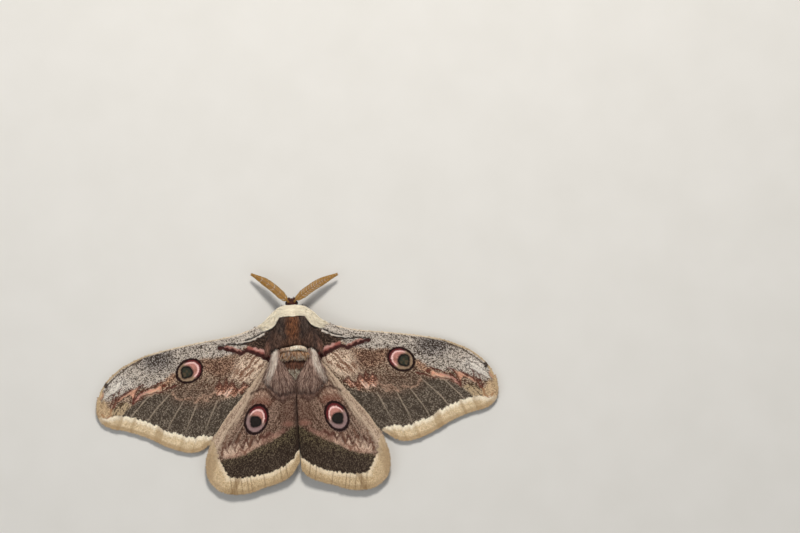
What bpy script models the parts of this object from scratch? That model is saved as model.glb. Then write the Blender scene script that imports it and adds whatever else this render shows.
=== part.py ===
"""Giant peacock moth, a male at rest with its wings spread flat, life size.

Metres, +Z up, head towards +Y. The moth stands on its feet and the underside of
its abdomen, and the origin is under the middle of the whole animal.
"""
import math
import random

import bmesh
import bpy
import numpy as np
from mathutils import Matrix, Vector
from mathutils.geometry import delaunay_2d_cdt

MM = 0.001

# Driving dimensions. Places are measured from the hinge line of the forewings,
# with Y towards the head, and this line lies ahead of the middle of the animal.
HINGE_LINE_Y = 13.8 * MM
GAP = 0.3 * MM

# The body, in lengths along Y from the hinge line
HEAD_REAR = 10.2 * MM
COLLAR_REAR = 7.4 * MM
THORAX_REAR = -6.6 * MM
ABDOMEN_TIP = -31.0 * MM
ABDOMEN_RINGS = 7
ABDOMEN_RING_PROFILE = ((0.0, 0.965), (0.35, 1.0), (0.75, 1.0))
ABDOMEN_FLAT_Z = 0.0
BODY_SIDES = 22

# How nearly the body's cross-sections are ovals: 1 for a side is an oval, and so is 2 for the top
BODY_SIDE_POWER = 0.92
BODY_TOP_POWER = 2.2

# Cross-sections of the body along it: place, half width, lowest and highest point
BODY_STATIONS = np.array([
    (-31.0, 0.9, 0.3, 2.6), (-30.0, 2.2, -0.1, 4.0), (-27.0, 3.6, -0.3, 5.9), (-22.0, 4.3, -0.2, 7.2),
    (-16.0, 4.5, 0.2, 7.7), (-10.0, 4.3, 0.8, 7.9), (-6.6, 4.1, 1.4, 8.3), (-4.0, 4.8, 1.5, 9.6),
    (0.0, 5.2, 1.5, 10.6), (4.0, 5.2, 1.7, 10.5), (7.4, 5.0, 2.2, 9.6), (9.2, 4.1, 2.6, 8.4),
    (10.4, 2.6, 3.2, 7.4)]) * MM

# The wings: thickness of the membrane, and the ridge that each vein raises in it
WING_THICKNESS = 0.5 * MM
VEIN_HEIGHT = 0.2 * MM
VEIN_HALF_WIDTH = 0.45 * MM
WING_GRID = 4.2 * MM
VEIN_STEP = 4.5 * MM
OUTLINE_STEP = 2.6 * MM
ROOT_POINTS = 5

# How high the wings lie: they leave the thorax at the hinge and come down towards the tips
HINGE = np.array((5.6, 0.0)) * MM
TIP_HEIGHT = 1.5 * MM
HINGE_RISE = 5.4 * MM
RISE_LENGTH = 14.0 * MM
WING_CLEARANCE = 1.1 * MM
ROOF_RISE = 5.3 * MM
ROOF_HALF_WIDTH = 6.0 * MM
SEAM_HALF_GAP = 0.28 * MM
HINDWING_HINGE = np.array((5.0, -5.0)) * MM
HINDWING_FRONT_Y = -2.6 * MM
HINDWING_TURN = {"left": 1.3, "right": -1.3}

# Outlines of the right wings, seen from above, from the front of the root round to its rear.
# The first and the last point give only how far forward the root reaches: its side follows the body.
FOREWING_OUTLINE = np.array([
    (5.5, 7.2), (9.4, 5.4), (14.5, 3.3), (21.0, 1.6), (32.0, 0.1), (41.0, -1.4), (49.0, -3.3),
    (57.0, -7.0), (62.0, -11.4), (64.3, -15.8), (64.8, -19.8), (63.9, -23.2), (61.0, -25.4),
    (55.0, -26.9), (48.8, -29.3), (42.3, -32.7), (36.0, -34.7), (32.3, -34.3), (29.2, -32.4),
    (25.8, -30.2), (18.0, -22.2), (9.0, -10.5), (5.5, -4.0)]) * MM
HINDWING_OUTLINE = np.array([
    (5.0, -3.6), (11.4, -11.0), (17.5, -18.6), (22.8, -24.9), (26.7, -30.9), (28.6, -36.0),
    (29.3, -39.0), (29.3, -42.5), (28.2, -45.6), (25.3, -48.3), (21.0, -49.4), (16.2, -49.1),
    (11.5, -47.6), (7.4, -46.4), (3.5, -44.6), (1.6, -42.5), (0.5, -40.6), (-0.9, -38.4),
    (-0.9, -27.0), (-0.4, -17.5), (2.2, -13.0), (5.0, -6.4)]) * MM

# Veins of the right wings, each from its root or fork out to the margin
FOREWING_VEINS = {
    "subcosta": [(7.0, 5.8), (20.0, 0.6), (34.0, -1.0), (46.0, -3.2)],
    "radius": [(7.0, 4.6), (20.0, -1.5), (33.0, -5.2)],
    "radius_2": [(26.0, -3.4), (42.0, -4.4), (55.0, -6.8)],
    "radius_4": [(33.0, -5.2), (47.0, -7.8), (57.0, -11.6), (63.4, -16.0)],
    "radius_5": [(33.0, -5.2), (46.0, -10.6), (56.0, -16.0), (62.6, -22.4)],
    "media_1": [(34.0, -6.6), (41.0, -11.4), (48.0, -16.2), (52.6, -21.0), (56.6, -25.6)],
    "media_2": [(34.4, -8.8), (36.4, -11.6), (41.0, -15.8), (46.5, -21.2), (51.0, -27.2)],
    "media_3": [(33.2, -12.4), (36.4, -17.8), (41.0, -24.6), (44.2, -30.8)],
    "cell_end": [(33.0, -5.2), (34.4, -8.8), (33.2, -12.4)],
    "cubitus": [(7.0, 2.2), (19.0, -7.6), (28.0, -11.8), (33.2, -12.4)],
    "cubitus_1": [(29.0, -12.0), (32.0, -18.6), (35.6, -26.0), (38.4, -33.2)],
    "cubitus_2": [(21.5, -9.2), (25.2, -17.6), (29.0, -25.4), (32.2, -33.2)],
    "anal": [(7.0, 0.0), (14.0, -9.6), (21.0, -18.6), (27.2, -26.6), (29.4, -31.4)],
}
HINDWING_VEINS = {
    "subcosta": [(6.4, -6.6), (14.6, -18.0), (22.4, -28.6), (27.8, -37.6)],
    "radius": [(5.8, -8.0), (11.0, -16.4), (14.2, -22.0), (20.6, -32.0), (26.6, -44.2)],
    "media_1": [(14.2, -22.0), (18.0, -34.0), (22.4, -47.6)],
    "media_2": [(13.6, -25.6), (15.8, -36.5), (18.5, -48.2)],
    "media_3": [(11.6, -29.2), (13.4, -38.5), (14.9, -47.8)],
    "cell_end": [(14.2, -22.0), (13.6, -25.6), (11.6, -29.2)],
    "cubitus": [(4.8, -10.4), (7.2, -19.0), (9.2, -25.0), (11.6, -29.2)],
    "cubitus_1": [(9.2, -25.0), (10.4, -36.0), (10.9, -46.4)],
    "cubitus_2": [(7.2, -19.0), (7.6, -33.0), (6.9, -45.0)],
    "anal": [(4.4, -12.0), (3.4, -24.0), (3.5, -43.2)],
}

# The head, its eyes and the feathery antennae
HEAD_CENTRE = Vector((0.0, 10.9, 5.0)) * MM
HEAD_RADII = Vector((2.1, 2.0, 2.1)) * MM
EYE_RADII = Vector((0.85, 1.05, 1.25)) * MM
EYE_FLAT_X = 1.6 * MM
EYE_PLACE = Vector((0.0, 11.42, 4.8)) * MM
ANTENNA_ROOT_DIRECTION = Vector((0.5, 0.52, 0.62))
ANTENNA_ANGLE = {"left": 39.0, "right": 28.5}
ANTENNA_LENGTH = {"left": 14.4 * MM, "right": 15.8 * MM}
ANTENNA_TIP_Z = 3.2 * MM
ANTENNA_BOW = 0.7 * MM
ANTENNA_DROOP = 1.3
ANTENNA_STUB = 0.6 * MM
SHAFT_RADIUS = (0.34 * MM, 0.27 * MM)
RAMI_PAIRS = 19
RAMUS_LENGTH = 1.75 * MM
RAMUS_ANGLE = 50.0
RAMUS_RADIUS = (0.29 * MM, 0.15 * MM)
RAMUS_THINNING = 0.25
RAMUS_SHORTEST = 0.28
RAMI_FULL_LENGTH = (0.2, 0.3)

# The long coat in flat locks: how many rows and columns grow where, and their size
LOCK_THICKNESS = 0.5 * MM
LOCK_SINK = 0.5 * MM
LOCK_LEAD = 1.3 * MM
LOCK_LAYER = 0.22 * MM
LOCK_VARIATION = 0.12
LOCK_SEED = 11

# A lock's width and thickness along it, as factors of a polynomial of the way from root to tip
LOCK_WIDTH_PROFILE = (0.75, 0.9, -1.65, 0.0, 0.35)
LOCK_THICKNESS_PROFILE = (1.15, -0.55)

# The coat on the thorax: rows, columns, arc round the body in degrees, and length and width
THORAX_LOCK_ROWS = 6
THORAX_LOCK_COLUMNS = 7
THORAX_LOCK_ARC = (28.0, 152.0)
THORAX_LOCK_SPREAD = 0.35
THORAX_LOCK_LIFT = 0.55 * MM
THORAX_LOCK = (4.6 * MM, 2.5 * MM)

# The ruff
COLLAR_LOCKS = 11
COLLAR_LOCK_Y = COLLAR_REAR + 1.5 * MM
COLLAR_LOCK_ARC = (14.0, 166.0)
COLLAR_LOCK_LIE = (0.85, -0.45, 0.25)
COLLAR_LOCK_LIFT = 0.7 * MM
COLLAR_LOCK = (3.2 * MM, 2.3 * MM)

# The tufts over the forewing roots and the fans over the hindwings: from the first lock to the last,
# its place along the body and its heading in degrees
SHOULDER_LOCKS = 7
SHOULDER_LOCK = (5.0 * MM, 2.5 * MM)
SHOULDER_FALL = 1.5 * MM
SHOULDER_ROOT_ANGLE = 30.0
SHOULDER_ROOT_Y = (5.6 * MM, 0.6 * MM)
SHOULDER_HEADING = (12.0, -32.0)
FAN_LOCKS = 8
FAN_LOCK = (9.5 * MM, 2.7 * MM)
FAN_FALL = 1.0 * MM
FAN_ROOT_ANGLE = 42.0
FAN_ROOT_Y = (-1.4 * MM, -4.4 * MM)
FAN_HEADING = (-30.0, -82.0)

# The palps below the front of the head
PALP_PLACE = Vector((0.5, 11.9, 3.9)) * MM
PALP_DIRECTION = Vector((0.2, 0.75, -0.6))
PALP_LENGTH = 1.9 * MM
PALP_RADIUS = 0.42 * MM

# The legs: where each leaves the thorax, and its knee, ankle and claw, on the right side
LEG_ROOTS = {"front": (4.6, -32.0), "mid": (0.6, -36.0), "hind": (-3.6, -34.0)}
LEG_POINTS = {
    "front": [(5.0, 6.6, 2.8), (4.7, 8.6, 1.3), (3.4, 10.6, 0.32)],
    "mid": [(7.2, 0.6, 3.4), (9.6, -2.4, 1.5), (11.8, -5.0, 0.32)],
    "hind": [(6.8, -7.6, 3.0), (8.2, -12.4, 1.3), (8.8, -16.6, 0.32)],
}
FEMUR_RADIUS = 0.75 * MM
TIBIA_RADIUS = 0.55 * MM
TARSUS_RADIUS = 0.36 * MM
LEG_STUB = 1.3 * MM
LEG_STEP = 1.5 * MM

# A leg's radius at shares of its length
LEG_REACH = (0.0, 0.15, 0.4, 0.5, 0.72, 0.8, 1.0)
LEG_RADII = (FEMUR_RADIUS * 0.8, FEMUR_RADIUS, FEMUR_RADIUS * 0.9, TIBIA_RADIUS, TIBIA_RADIUS,
             TARSUS_RADIUS, TARSUS_RADIUS)

COLOURS = {
    "head": (0.050, 0.024, 0.012), "collar": (0.60, 0.50, 0.38), "thorax": (0.055, 0.030, 0.022),
    "abdomen": (0.42, 0.33, 0.24), "forewing": (0.165, 0.120, 0.090), "hindwing": (0.150, 0.105, 0.080),
    "antenna": (0.50, 0.29, 0.09), "leg": (0.075, 0.038, 0.022), "eye": (0.018, 0.012, 0.010),
}
ROUGHNESS = {"eye": 0.18}
PLAIN_ROUGHNESS = 0.75


def clear_scene():
    """Remove whatever the file holds, so that only the moth is in it."""
    for old in list(bpy.data.objects):
        bpy.data.objects.remove(old, do_unlink=True)


def make_material(kind):
    """One plain finish for each kind of sub-part."""
    material = bpy.data.materials.new(kind)
    material.use_nodes = True
    shader = material.node_tree.nodes["Principled BSDF"]
    shader.inputs["Base Color"].default_value = (*COLOURS[kind], 1.0)
    shader.inputs["Roughness"].default_value = ROUGHNESS.get(kind, PLAIN_ROUGHNESS)
    shader.inputs["Metallic"].default_value = 0.0
    return material


def make_node(name, kind, bm):
    """Turn a bmesh into a named object under the moth's empty."""
    bmesh.ops.recalc_face_normals(bm, faces=bm.faces)
    mesh = bpy.data.meshes.new(name)
    bm.to_mesh(mesh)
    bm.free()
    mesh.materials.append(materials[kind])
    node = bpy.data.objects.new(name, mesh)
    node.parent = moth
    parts.objects.link(node)
    return node


def smooth_path(points, step):
    """A Catmull-Rom curve through the points, sampled about every step."""
    points = np.asarray(points, float)
    ends = (2 * points[0] - points[1], 2 * points[-1] - points[-2])
    padded = np.vstack([ends[0], points, ends[1]])
    out = []
    for i in range(1, len(padded) - 2):
        a, b, c, d = padded[i - 1:i + 3]
        count = max(1, round(float(np.linalg.norm(c - b)) / step))
        for t in np.arange(count) / count:
            out.append(0.5 * (2 * b + (c - a) * t + (2 * a - 5 * b + 4 * c - d) * t ** 2
                              + (3 * b - a - 3 * c + d) * t ** 3))
    out.append(points[-1])
    return np.array(out)


def smooth_step(value, low, high):
    """0 below low, 1 above high and an even turn between."""
    t = np.clip((value - low) / (high - low), 0.0, 1.0)
    return t * t * (3 - 2 * t)


def forewing_height(x, y):
    """Middle of the forewing's membrane above the ground."""
    reach = np.hypot(x - HINGE[0], y - HINGE[1])
    return TIP_HEIGHT + HINGE_RISE * np.exp(-reach / RISE_LENGTH)


def hindwing_height(x, y):
    """The hindwing lies over the forewing's rear edge and roofs over the abdomen."""
    front = 1 - smooth_step(y, -13 * MM, -5 * MM)
    rear = 0.25 + 0.75 * smooth_step(y, -40 * MM, -27 * MM)
    roof = ROOF_RISE * front * rear * np.exp(-(x / ROOF_HALF_WIDTH) ** 2)
    return forewing_height(x, y) + WING_CLEARANCE + roof


def distance_to_veins(point, veins):
    """Shortest way from a point to any vein's line, seen from above."""
    best = math.inf
    for line in veins:
        a, b = line[:-1], line[1:]
        along = np.einsum("ij,ij->i", point - a, b - a) / np.einsum("ij,ij->i", b - a, b - a)
        nearest = a + np.clip(along, 0, 1)[:, None] * (b - a)
        best = min(best, float(np.min(np.linalg.norm(point - nearest, axis=1))))
    return best


def wing_points(outline, veins):
    """Points of one wing seen from above, and the lines that the mesh must follow."""
    points = [tuple(p) for p in outline]
    lines = []
    centres = []
    for line in veins:
        along = np.gradient(line, axis=0)
        along /= np.linalg.norm(along, axis=1)[:, None]
        across = np.stack([-along[:, 1], along[:, 0]], axis=1) * VEIN_HALF_WIDTH
        centres.append(line)
        others = [other for other in veins if other is not line]
        for row in (line, line + across, line - across):
            last = None
            for i, point in enumerate(row):
                crowded = row is not line and distance_to_veins(point, others) < 0.8 * VEIN_HALF_WIDTH
                if crowded:
                    last = None
                    continue
                points.append(tuple(point))
                if last is not None:
                    lines.append((last, len(points) - 1))
                last = len(points) - 1
    low, high = outline.min(axis=0), outline.max(axis=0)
    for i, x in enumerate(np.arange(low[0], high[0], WING_GRID)):
        for y in np.arange(low[1] + (i % 2) * WING_GRID / 2, high[1], WING_GRID):
            point = np.array((x, y))
            far_in = np.min(np.linalg.norm(outline - point, axis=1)) > WING_GRID / 2
            if inside(point, outline) and far_in and distance_to_veins(point, veins) > WING_GRID / 2.5:
                points.append((x, y))
    return points, lines


def inside(point, outline):
    """Whether a point lies within a closed outline."""
    count = 0
    for a, b in zip(outline, np.roll(outline, -1, axis=0)):
        if (a[1] > point[1]) != (b[1] > point[1]):
            if point[0] < a[0] + (point[1] - a[1]) / (b[1] - a[1]) * (b[0] - a[0]):
                count += 1
    return count % 2 == 1


def turned(points, hinge, degrees):
    """Points seen from above, turned outwards about the wing's hinge."""
    c, s = math.cos(math.radians(degrees)), math.sin(math.radians(degrees))
    return (points - hinge) @ np.array(((c, s), (-s, c))) + hinge


def build_wing(name, kind, side, outline, veins, height, turn=0.0, inner=-math.inf):
    """A curved sheet with its veins raised in it, given its thickness by Solidify."""
    mirror = -1 if side == "left" else 1
    edge = turned(smooth_path(outline, OUTLINE_STEP), HINDWING_HINGE, turn)
    edge[:, 0] = np.maximum(edge[:, 0], inner)
    rows = np.linspace(outline[-1][1], outline[0][1], ROOT_POINTS)
    root = [(body_section(y)[0] + GAP, y) for y in rows]
    edge = np.vstack([edge[1:-1], root])
    lines = [turned(smooth_path(np.array(line) * MM, VEIN_STEP), HINDWING_HINGE, turn)
             for line in veins.values()]
    points, edges = wing_points(edge, lines)
    flat = delaunay_2d_cdt([Vector(p) / MM for p in points], edges, [list(range(len(edge)))], 1, 1e-3)
    bm = bmesh.new()
    verts = []
    for place in flat[0]:
        x, y = place.x * MM, place.y * MM
        near = 1 - distance_to_veins(np.array((x, y)), lines) / VEIN_HALF_WIDTH
        z = height(x, y) + VEIN_HEIGHT * max(0.0, near)
        verts.append(bm.verts.new((mirror * x, y, z)))
    for corners in flat[2]:
        bm.faces.new([verts[i] for i in corners])
    bmesh.ops.delete(bm, geom=[v for v in bm.verts if not v.link_faces], context="VERTS")
    wing = make_node(name, kind, bm)
    thickness = wing.modifiers.new("Thickness", "SOLIDIFY")
    thickness.thickness = WING_THICKNESS
    thickness.offset = 0.0
    return wing


def body_section(y):
    """Half width, lowest and highest point of the body at a place along it."""
    return [float(np.interp(y, BODY_STATIONS[:, 0], BODY_STATIONS[:, i])) for i in (1, 2, 3)]


def body_point(y, angle):
    """A point of the body's surface, with the angle counted from its right side upwards."""
    half, low, high = body_section(y)
    c, s = math.cos(angle), math.sin(angle)
    x = half * math.copysign(abs(c) ** BODY_SIDE_POWER, c)
    z = (low + high) / 2 + (high - low) / 2 * math.copysign(abs(s) ** BODY_SIDE_POWER, s)
    return Vector((x, y, z))


def loft_body(stations, pinch=None):
    """Rings round the body at the stations, joined and closed at both ends."""
    bm = bmesh.new()
    rings = []
    for index, y in enumerate(stations):
        grow = 1.0 if pinch is None else pinch[index]
        half, low, high = body_section(y)
        middle = Vector((0, y, (low + high) / 2))
        angles = [2 * math.pi * i / BODY_SIDES for i in range(BODY_SIDES)]
        ring = [bm.verts.new(middle + (body_point(y, a) - middle) * grow) for a in angles]
        rings.append(ring)
    for ring, following in zip(rings, rings[1:]):
        for i in range(BODY_SIDES):
            j = (i + 1) % BODY_SIDES
            bm.faces.new((ring[i], ring[j], following[j], following[i]))
    for ring in (rings[0], rings[-1]):
        bm.faces.new(ring)
    return bm


def cut_flat(bm, point, normal):
    """Cut off what lies beyond a plane and close the cut."""
    everything = list(bm.verts) + list(bm.edges) + list(bm.faces)
    cut = bmesh.ops.bisect_plane(bm, geom=everything, plane_co=point, plane_no=normal,
                                 clear_outer=True, dist=1e-7)
    rim = [e for e in cut["geom_cut"] if isinstance(e, bmesh.types.BMEdge)]
    bmesh.ops.holes_fill(bm, edges=rim, sides=0)


def body_top(x, y):
    """Height of the body's upper side at a place seen from above."""
    half, low, high = body_section(y)
    across = min(1.0, abs(x) / half)
    return (low + high) / 2 + (high - low) / 2 * (1 - across ** BODY_TOP_POWER) ** 0.5


def lowest_clear(x, y, node_rear):
    """How low a lock's middle may lie to clear the wings and the body behind its own node."""
    under = forewing_height(x, y)
    if y < HINDWING_FRONT_Y:
        under = max(under, hindwing_height(x, y))
    under += WING_THICKNESS / 2 + VEIN_HEIGHT
    if y < node_rear + LOCK_LEAD:
        under = max(under, body_top(x, y))
    return under + GAP + LOCK_THICKNESS


def profile(factors, t):
    """A polynomial of t, with its factors from the lowest power up."""
    return sum(factor * t ** power for power, factor in enumerate(factors))


def from_first_to_last(ends, i, count):
    """The value for one of a row of locks, evenly between the values at its two ends."""
    return ends[0] + (ends[1] - ends[0]) * i / (count - 1)


def lock_piece(points, width, up, node_rear, raised=0.0):
    """A flat lock through the points, widest before its middle and thin at its tip."""
    bm = bmesh.new()
    rings = []
    last = len(points) - 1
    for i, point in enumerate(points):
        along = (points[min(i + 1, last)] - points[max(i - 1, 0)]).normalized()
        across = along.cross(up).normalized()
        lift = across.cross(along)
        t = i / last
        half = width / 2 * profile(LOCK_WIDTH_PROFILE, t)
        thick = LOCK_THICKNESS / 2 * profile(LOCK_THICKNESS_PROFILE, t)
        if i > 0:
            edges = [point + across * half * k for k in (-1, 0, 1)]
            short = max(lowest_clear(edge.x, edge.y, node_rear) - edge.z for edge in edges)
            point = point + Vector((0, 0, max(0.0, short) + raised))
        corners = (across * half, lift * thick, -across * half, -lift * thick)
        rings.append([bm.verts.new(point + corner) for corner in corners])
    for ring, following in zip(rings, rings[1:]):
        for k in range(4):
            j = (k + 1) % 4
            bm.faces.new((ring[k], ring[j], following[j], following[k]))
    for ring in (rings[0], rings[-1]):
        bm.faces.new(ring)
    bmesh.ops.recalc_face_normals(bm, faces=bm.faces)
    return loose_piece(bm)


def varied(size):
    """A lock's length and width, a little different from lock to lock."""
    return [value * random.uniform(1 - LOCK_VARIATION, 1 + LOCK_VARIATION) for value in size]


def coat_lock(y, angle, lie, size, lift, node_rear):
    """A lock that leaves the body at a place on it and lies over it towards lie."""
    length, width = varied(size)
    root = body_point(y, angle)
    _, low, high = body_section(y)
    normal = (root - Vector((0, y, (low + high) / 2))).normalized()
    points = [root - normal * LOCK_SINK]
    for t in (0.3, 0.65, 1.0):
        points.append(root + lie * (length * t) + normal * (lift * math.sin(2.2 * t)))
    return lock_piece(points, width, normal, node_rear)


def fan_lock(root, degrees, size, fall, layer, node_rear):
    """A long lock from the thorax out over a wing's base, clear of the wing all the way.

    Neighbours lie in two layers, so that each passes over or under the next.
    """
    length, width = varied(size)
    heading = Vector((math.cos(math.radians(degrees)), math.sin(math.radians(degrees)), 0))
    inwards = Vector((root.x, 0, 0)).normalized()
    points = [root - inwards * LOCK_SINK * 2]
    for t in (0.25, 0.5, 0.75, 1.0):
        points.append(root + heading * (length * t) - Vector((0, 0, fall * t)))
    return lock_piece(points, width, Vector((0, 0, 1)), node_rear, layer * LOCK_LAYER)


def build_thorax():
    """The middle of the body, its coat of locks and the long fans over the roots of the wings."""
    stations = np.linspace(THORAX_REAR + GAP / 2, COLLAR_REAR - GAP / 2, 9)
    thorax = make_node("thorax", "thorax", loft_body(stations))
    random.seed(LOCK_SEED)
    locks = []
    rows = np.linspace(COLLAR_REAR - 1.2 * MM, THORAX_REAR + 2.6 * MM, THORAX_LOCK_ROWS)
    for row, y in enumerate(rows):
        for column in range(THORAX_LOCK_COLUMNS):
            across = (column + 0.5 + 0.5 * (row % 2)) / (THORAX_LOCK_COLUMNS + 0.5)
            first, past = THORAX_LOCK_ARC
            angle = math.radians(first + (past - first) * across)
            lie = Vector((THORAX_LOCK_SPREAD * math.cos(angle), -1, 0)).normalized()
            locks.append(coat_lock(y, angle, lie, THORAX_LOCK, THORAX_LOCK_LIFT, THORAX_REAR))
    for side in (-1, 1):
        for i in range(FAN_LOCKS):
            y = from_first_to_last(FAN_ROOT_Y, i, FAN_LOCKS)
            root = body_point(y, math.radians(FAN_ROOT_ANGLE))
            root.x *= side
            degrees = from_first_to_last(FAN_HEADING, i, FAN_LOCKS)
            heading = degrees if side > 0 else 180 - degrees
            locks.append(fan_lock(root, heading, FAN_LOCK, FAN_FALL, i % 2, THORAX_REAR))
        for i in range(SHOULDER_LOCKS):
            y = from_first_to_last(SHOULDER_ROOT_Y, i, SHOULDER_LOCKS)
            root = body_point(y, math.radians(SHOULDER_ROOT_ANGLE))
            root.x *= side
            degrees = from_first_to_last(SHOULDER_HEADING, i, SHOULDER_LOCKS)
            heading = degrees if side > 0 else 180 - degrees
            locks.append(fan_lock(root, heading, SHOULDER_LOCK, SHOULDER_FALL, i % 2, THORAX_REAR))
    fuse(thorax, locks)


def build_collar():
    """The pale ruff between the thorax and the head, its locks swept outwards."""
    stations = np.linspace(COLLAR_REAR + GAP / 2, HEAD_REAR - GAP / 2, 5)
    collar = make_node("collar", "collar", loft_body(stations))
    random.seed(LOCK_SEED + 1)
    locks = []
    for i in range(COLLAR_LOCKS):
        angle = math.radians(from_first_to_last(COLLAR_LOCK_ARC, i, COLLAR_LOCKS))
        out, back, up = COLLAR_LOCK_LIE
        lie = Vector((out * math.cos(angle), back, up * math.sin(angle))).normalized()
        locks.append(coat_lock(COLLAR_LOCK_Y, angle, lie, COLLAR_LOCK, COLLAR_LOCK_LIFT, COLLAR_REAR))
    fuse(collar, locks)


def build_abdomen():
    """A soft, ringed body under the hindwings, resting on a flat of its underside."""
    length = THORAX_REAR - GAP / 2 - ABDOMEN_TIP
    stations, pinch = [], []
    for ring in range(ABDOMEN_RINGS):
        for part, size in ABDOMEN_RING_PROFILE:
            stations.append(ABDOMEN_TIP + length * (ring + part) / ABDOMEN_RINGS)
            pinch.append(size)
    stations.append(THORAX_REAR - GAP / 2)
    pinch.append(ABDOMEN_RING_PROFILE[0][1])
    bm = loft_body(stations, pinch)
    cut_flat(bm, (0, 0, ABDOMEN_FLAT_Z), (0, 0, -1))
    make_node("abdomen", "abdomen", bm)


def build_head():
    """A small head with a flat on each side for its eye and one behind for the collar."""
    bm = bmesh.new()
    bmesh.ops.create_uvsphere(bm, u_segments=20, v_segments=12, radius=1.0)
    bmesh.ops.transform(bm, matrix=Matrix.Diagonal((*HEAD_RADII, 1)), verts=bm.verts)
    bmesh.ops.translate(bm, vec=HEAD_CENTRE, verts=bm.verts)
    cut_flat(bm, (0, HEAD_REAR + GAP / 2, 0), (0, -1, 0))
    for side in (-1, 1):
        cut_flat(bm, (side * EYE_FLAT_X, 0, 0), (side, 0, 0))
    head = make_node("head", "head", bm)
    palps = []
    for side in (-1, 1):
        place = Vector((side * PALP_PLACE.x, PALP_PLACE.y, PALP_PLACE.z))
        heading = Vector((side * PALP_DIRECTION.x, PALP_DIRECTION.y, PALP_DIRECTION.z)).normalized()
        tip = place + heading * PALP_LENGTH
        middle = place.lerp(tip, 0.5)
        palp = tube_bmesh((place, middle, tip), (PALP_RADIUS, PALP_RADIUS, PALP_RADIUS * 0.6), 7)
        palps.append(loose_piece(palp))
    fuse(head, palps)


def build_eye(side):
    """Half a ball on the flat of the head's side."""
    mirror = -1 if side == "left" else 1
    bm = bmesh.new()
    bmesh.ops.create_uvsphere(bm, u_segments=16, v_segments=10, radius=1.0)
    bmesh.ops.transform(bm, matrix=Matrix.Diagonal((*EYE_RADII, 1)), verts=bm.verts)
    face_x = mirror * (EYE_FLAT_X + GAP)
    bmesh.ops.translate(bm, vec=Vector((face_x, EYE_PLACE.y, EYE_PLACE.z)), verts=bm.verts)
    cut_flat(bm, (face_x, 0, 0), (-mirror, 0, 0))
    make_node(f"eye_{side}", "eye", bm)


def tube_bmesh(points, radii, sides):
    """A closed tube through the points, with a radius at each and flat ends."""
    bm = bmesh.new()
    points = [Vector(p) for p in points]
    rings = []
    reference = Vector((0, 0, 1))
    for i, point in enumerate(points):
        along = (points[min(i + 1, len(points) - 1)] - points[max(i - 1, 0)]).normalized()
        across = along.cross(reference).normalized()
        up = across.cross(along)
        ring = []
        for k in range(sides):
            a = 2 * math.pi * k / sides
            ring.append(bm.verts.new(point + (across * math.cos(a) + up * math.sin(a)) * radii[i]))
        rings.append(ring)
    for ring, following in zip(rings, rings[1:]):
        for k in range(sides):
            j = (k + 1) % sides
            bm.faces.new((ring[k], ring[j], following[j], following[k]))
    for ring in (rings[0], rings[-1]):
        bm.faces.new(ring)
    bmesh.ops.recalc_face_normals(bm, faces=bm.faces)
    return bm


def antenna_path(side):
    """The shaft's line, from the head's surface out to the drooping tip."""
    mirror = -1 if side == "left" else 1
    out = ANTENNA_ROOT_DIRECTION.normalized()
    out = Vector((out.x * mirror, out.y, out.z))
    surface = HEAD_CENTRE + Vector([a * b for a, b in zip(out, HEAD_RADII)])
    normal = Vector([a / b for a, b in zip(out, HEAD_RADII)]).normalized()
    root = surface + normal * GAP
    angle = math.radians(ANTENNA_ANGLE[side])
    heading = Vector((mirror * math.cos(angle), math.sin(angle), 0))
    beside = Vector((-mirror * math.sin(angle), math.cos(angle), 0))
    points = [root, root + normal * ANTENNA_STUB]
    start = points[-1]
    for t in np.linspace(0.08, 1.0, 12):
        place = start + heading * (ANTENNA_LENGTH[side] * t) + beside * (ANTENNA_BOW * math.sin(math.pi * t))
        place.z = start.z + (ANTENNA_TIP_Z - start.z) * t ** ANTENNA_DROOP
        points.append(place)
    return points


def build_antenna(side):
    """A tapering shaft with a comb of rami along each side."""
    points = antenna_path(side)
    taper = np.linspace(SHAFT_RADIUS[0], SHAFT_RADIUS[1], len(points))
    shaft = make_node(f"antenna_{side}", "antenna", tube_bmesh(points, taper, 7))
    rami = []
    for pair in range(RAMI_PAIRS):
        t = (pair + 0.8) / RAMI_PAIRS
        place = 2 + t * (len(points) - 3.02)
        low = int(place)
        root = points[low].lerp(points[low + 1], place - low)
        along = (points[low + 1] - points[low]).normalized()
        growing = min(1.0, 0.55 + 0.45 * t / RAMI_FULL_LENGTH[0])
        shrinking = 1 - (1 - RAMUS_SHORTEST) * smooth_step(t, RAMI_FULL_LENGTH[1], 1.0)
        length = RAMUS_LENGTH * growing * shrinking
        for way in (-1, 1):
            across = along.cross(Vector((0, 0, 1))).normalized() * way
            lean = math.radians(RAMUS_ANGLE)
            heading = along * math.cos(lean) + across * math.sin(lean)
            tip = root + heading * length
            thick = RAMUS_RADIUS[0] * (1 - RAMUS_THINNING * t)
            rami.append(loose_piece(tube_bmesh((root, tip), (thick, RAMUS_RADIUS[1]), 5)))
    fuse(shaft, rami)
    return shaft


def loose_piece(bm):
    """A closed piece that is about to be joined to a node."""
    mesh = bpy.data.meshes.new("piece")
    bm.to_mesh(mesh)
    bm.free()
    return bpy.data.objects.new("piece", mesh)


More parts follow.
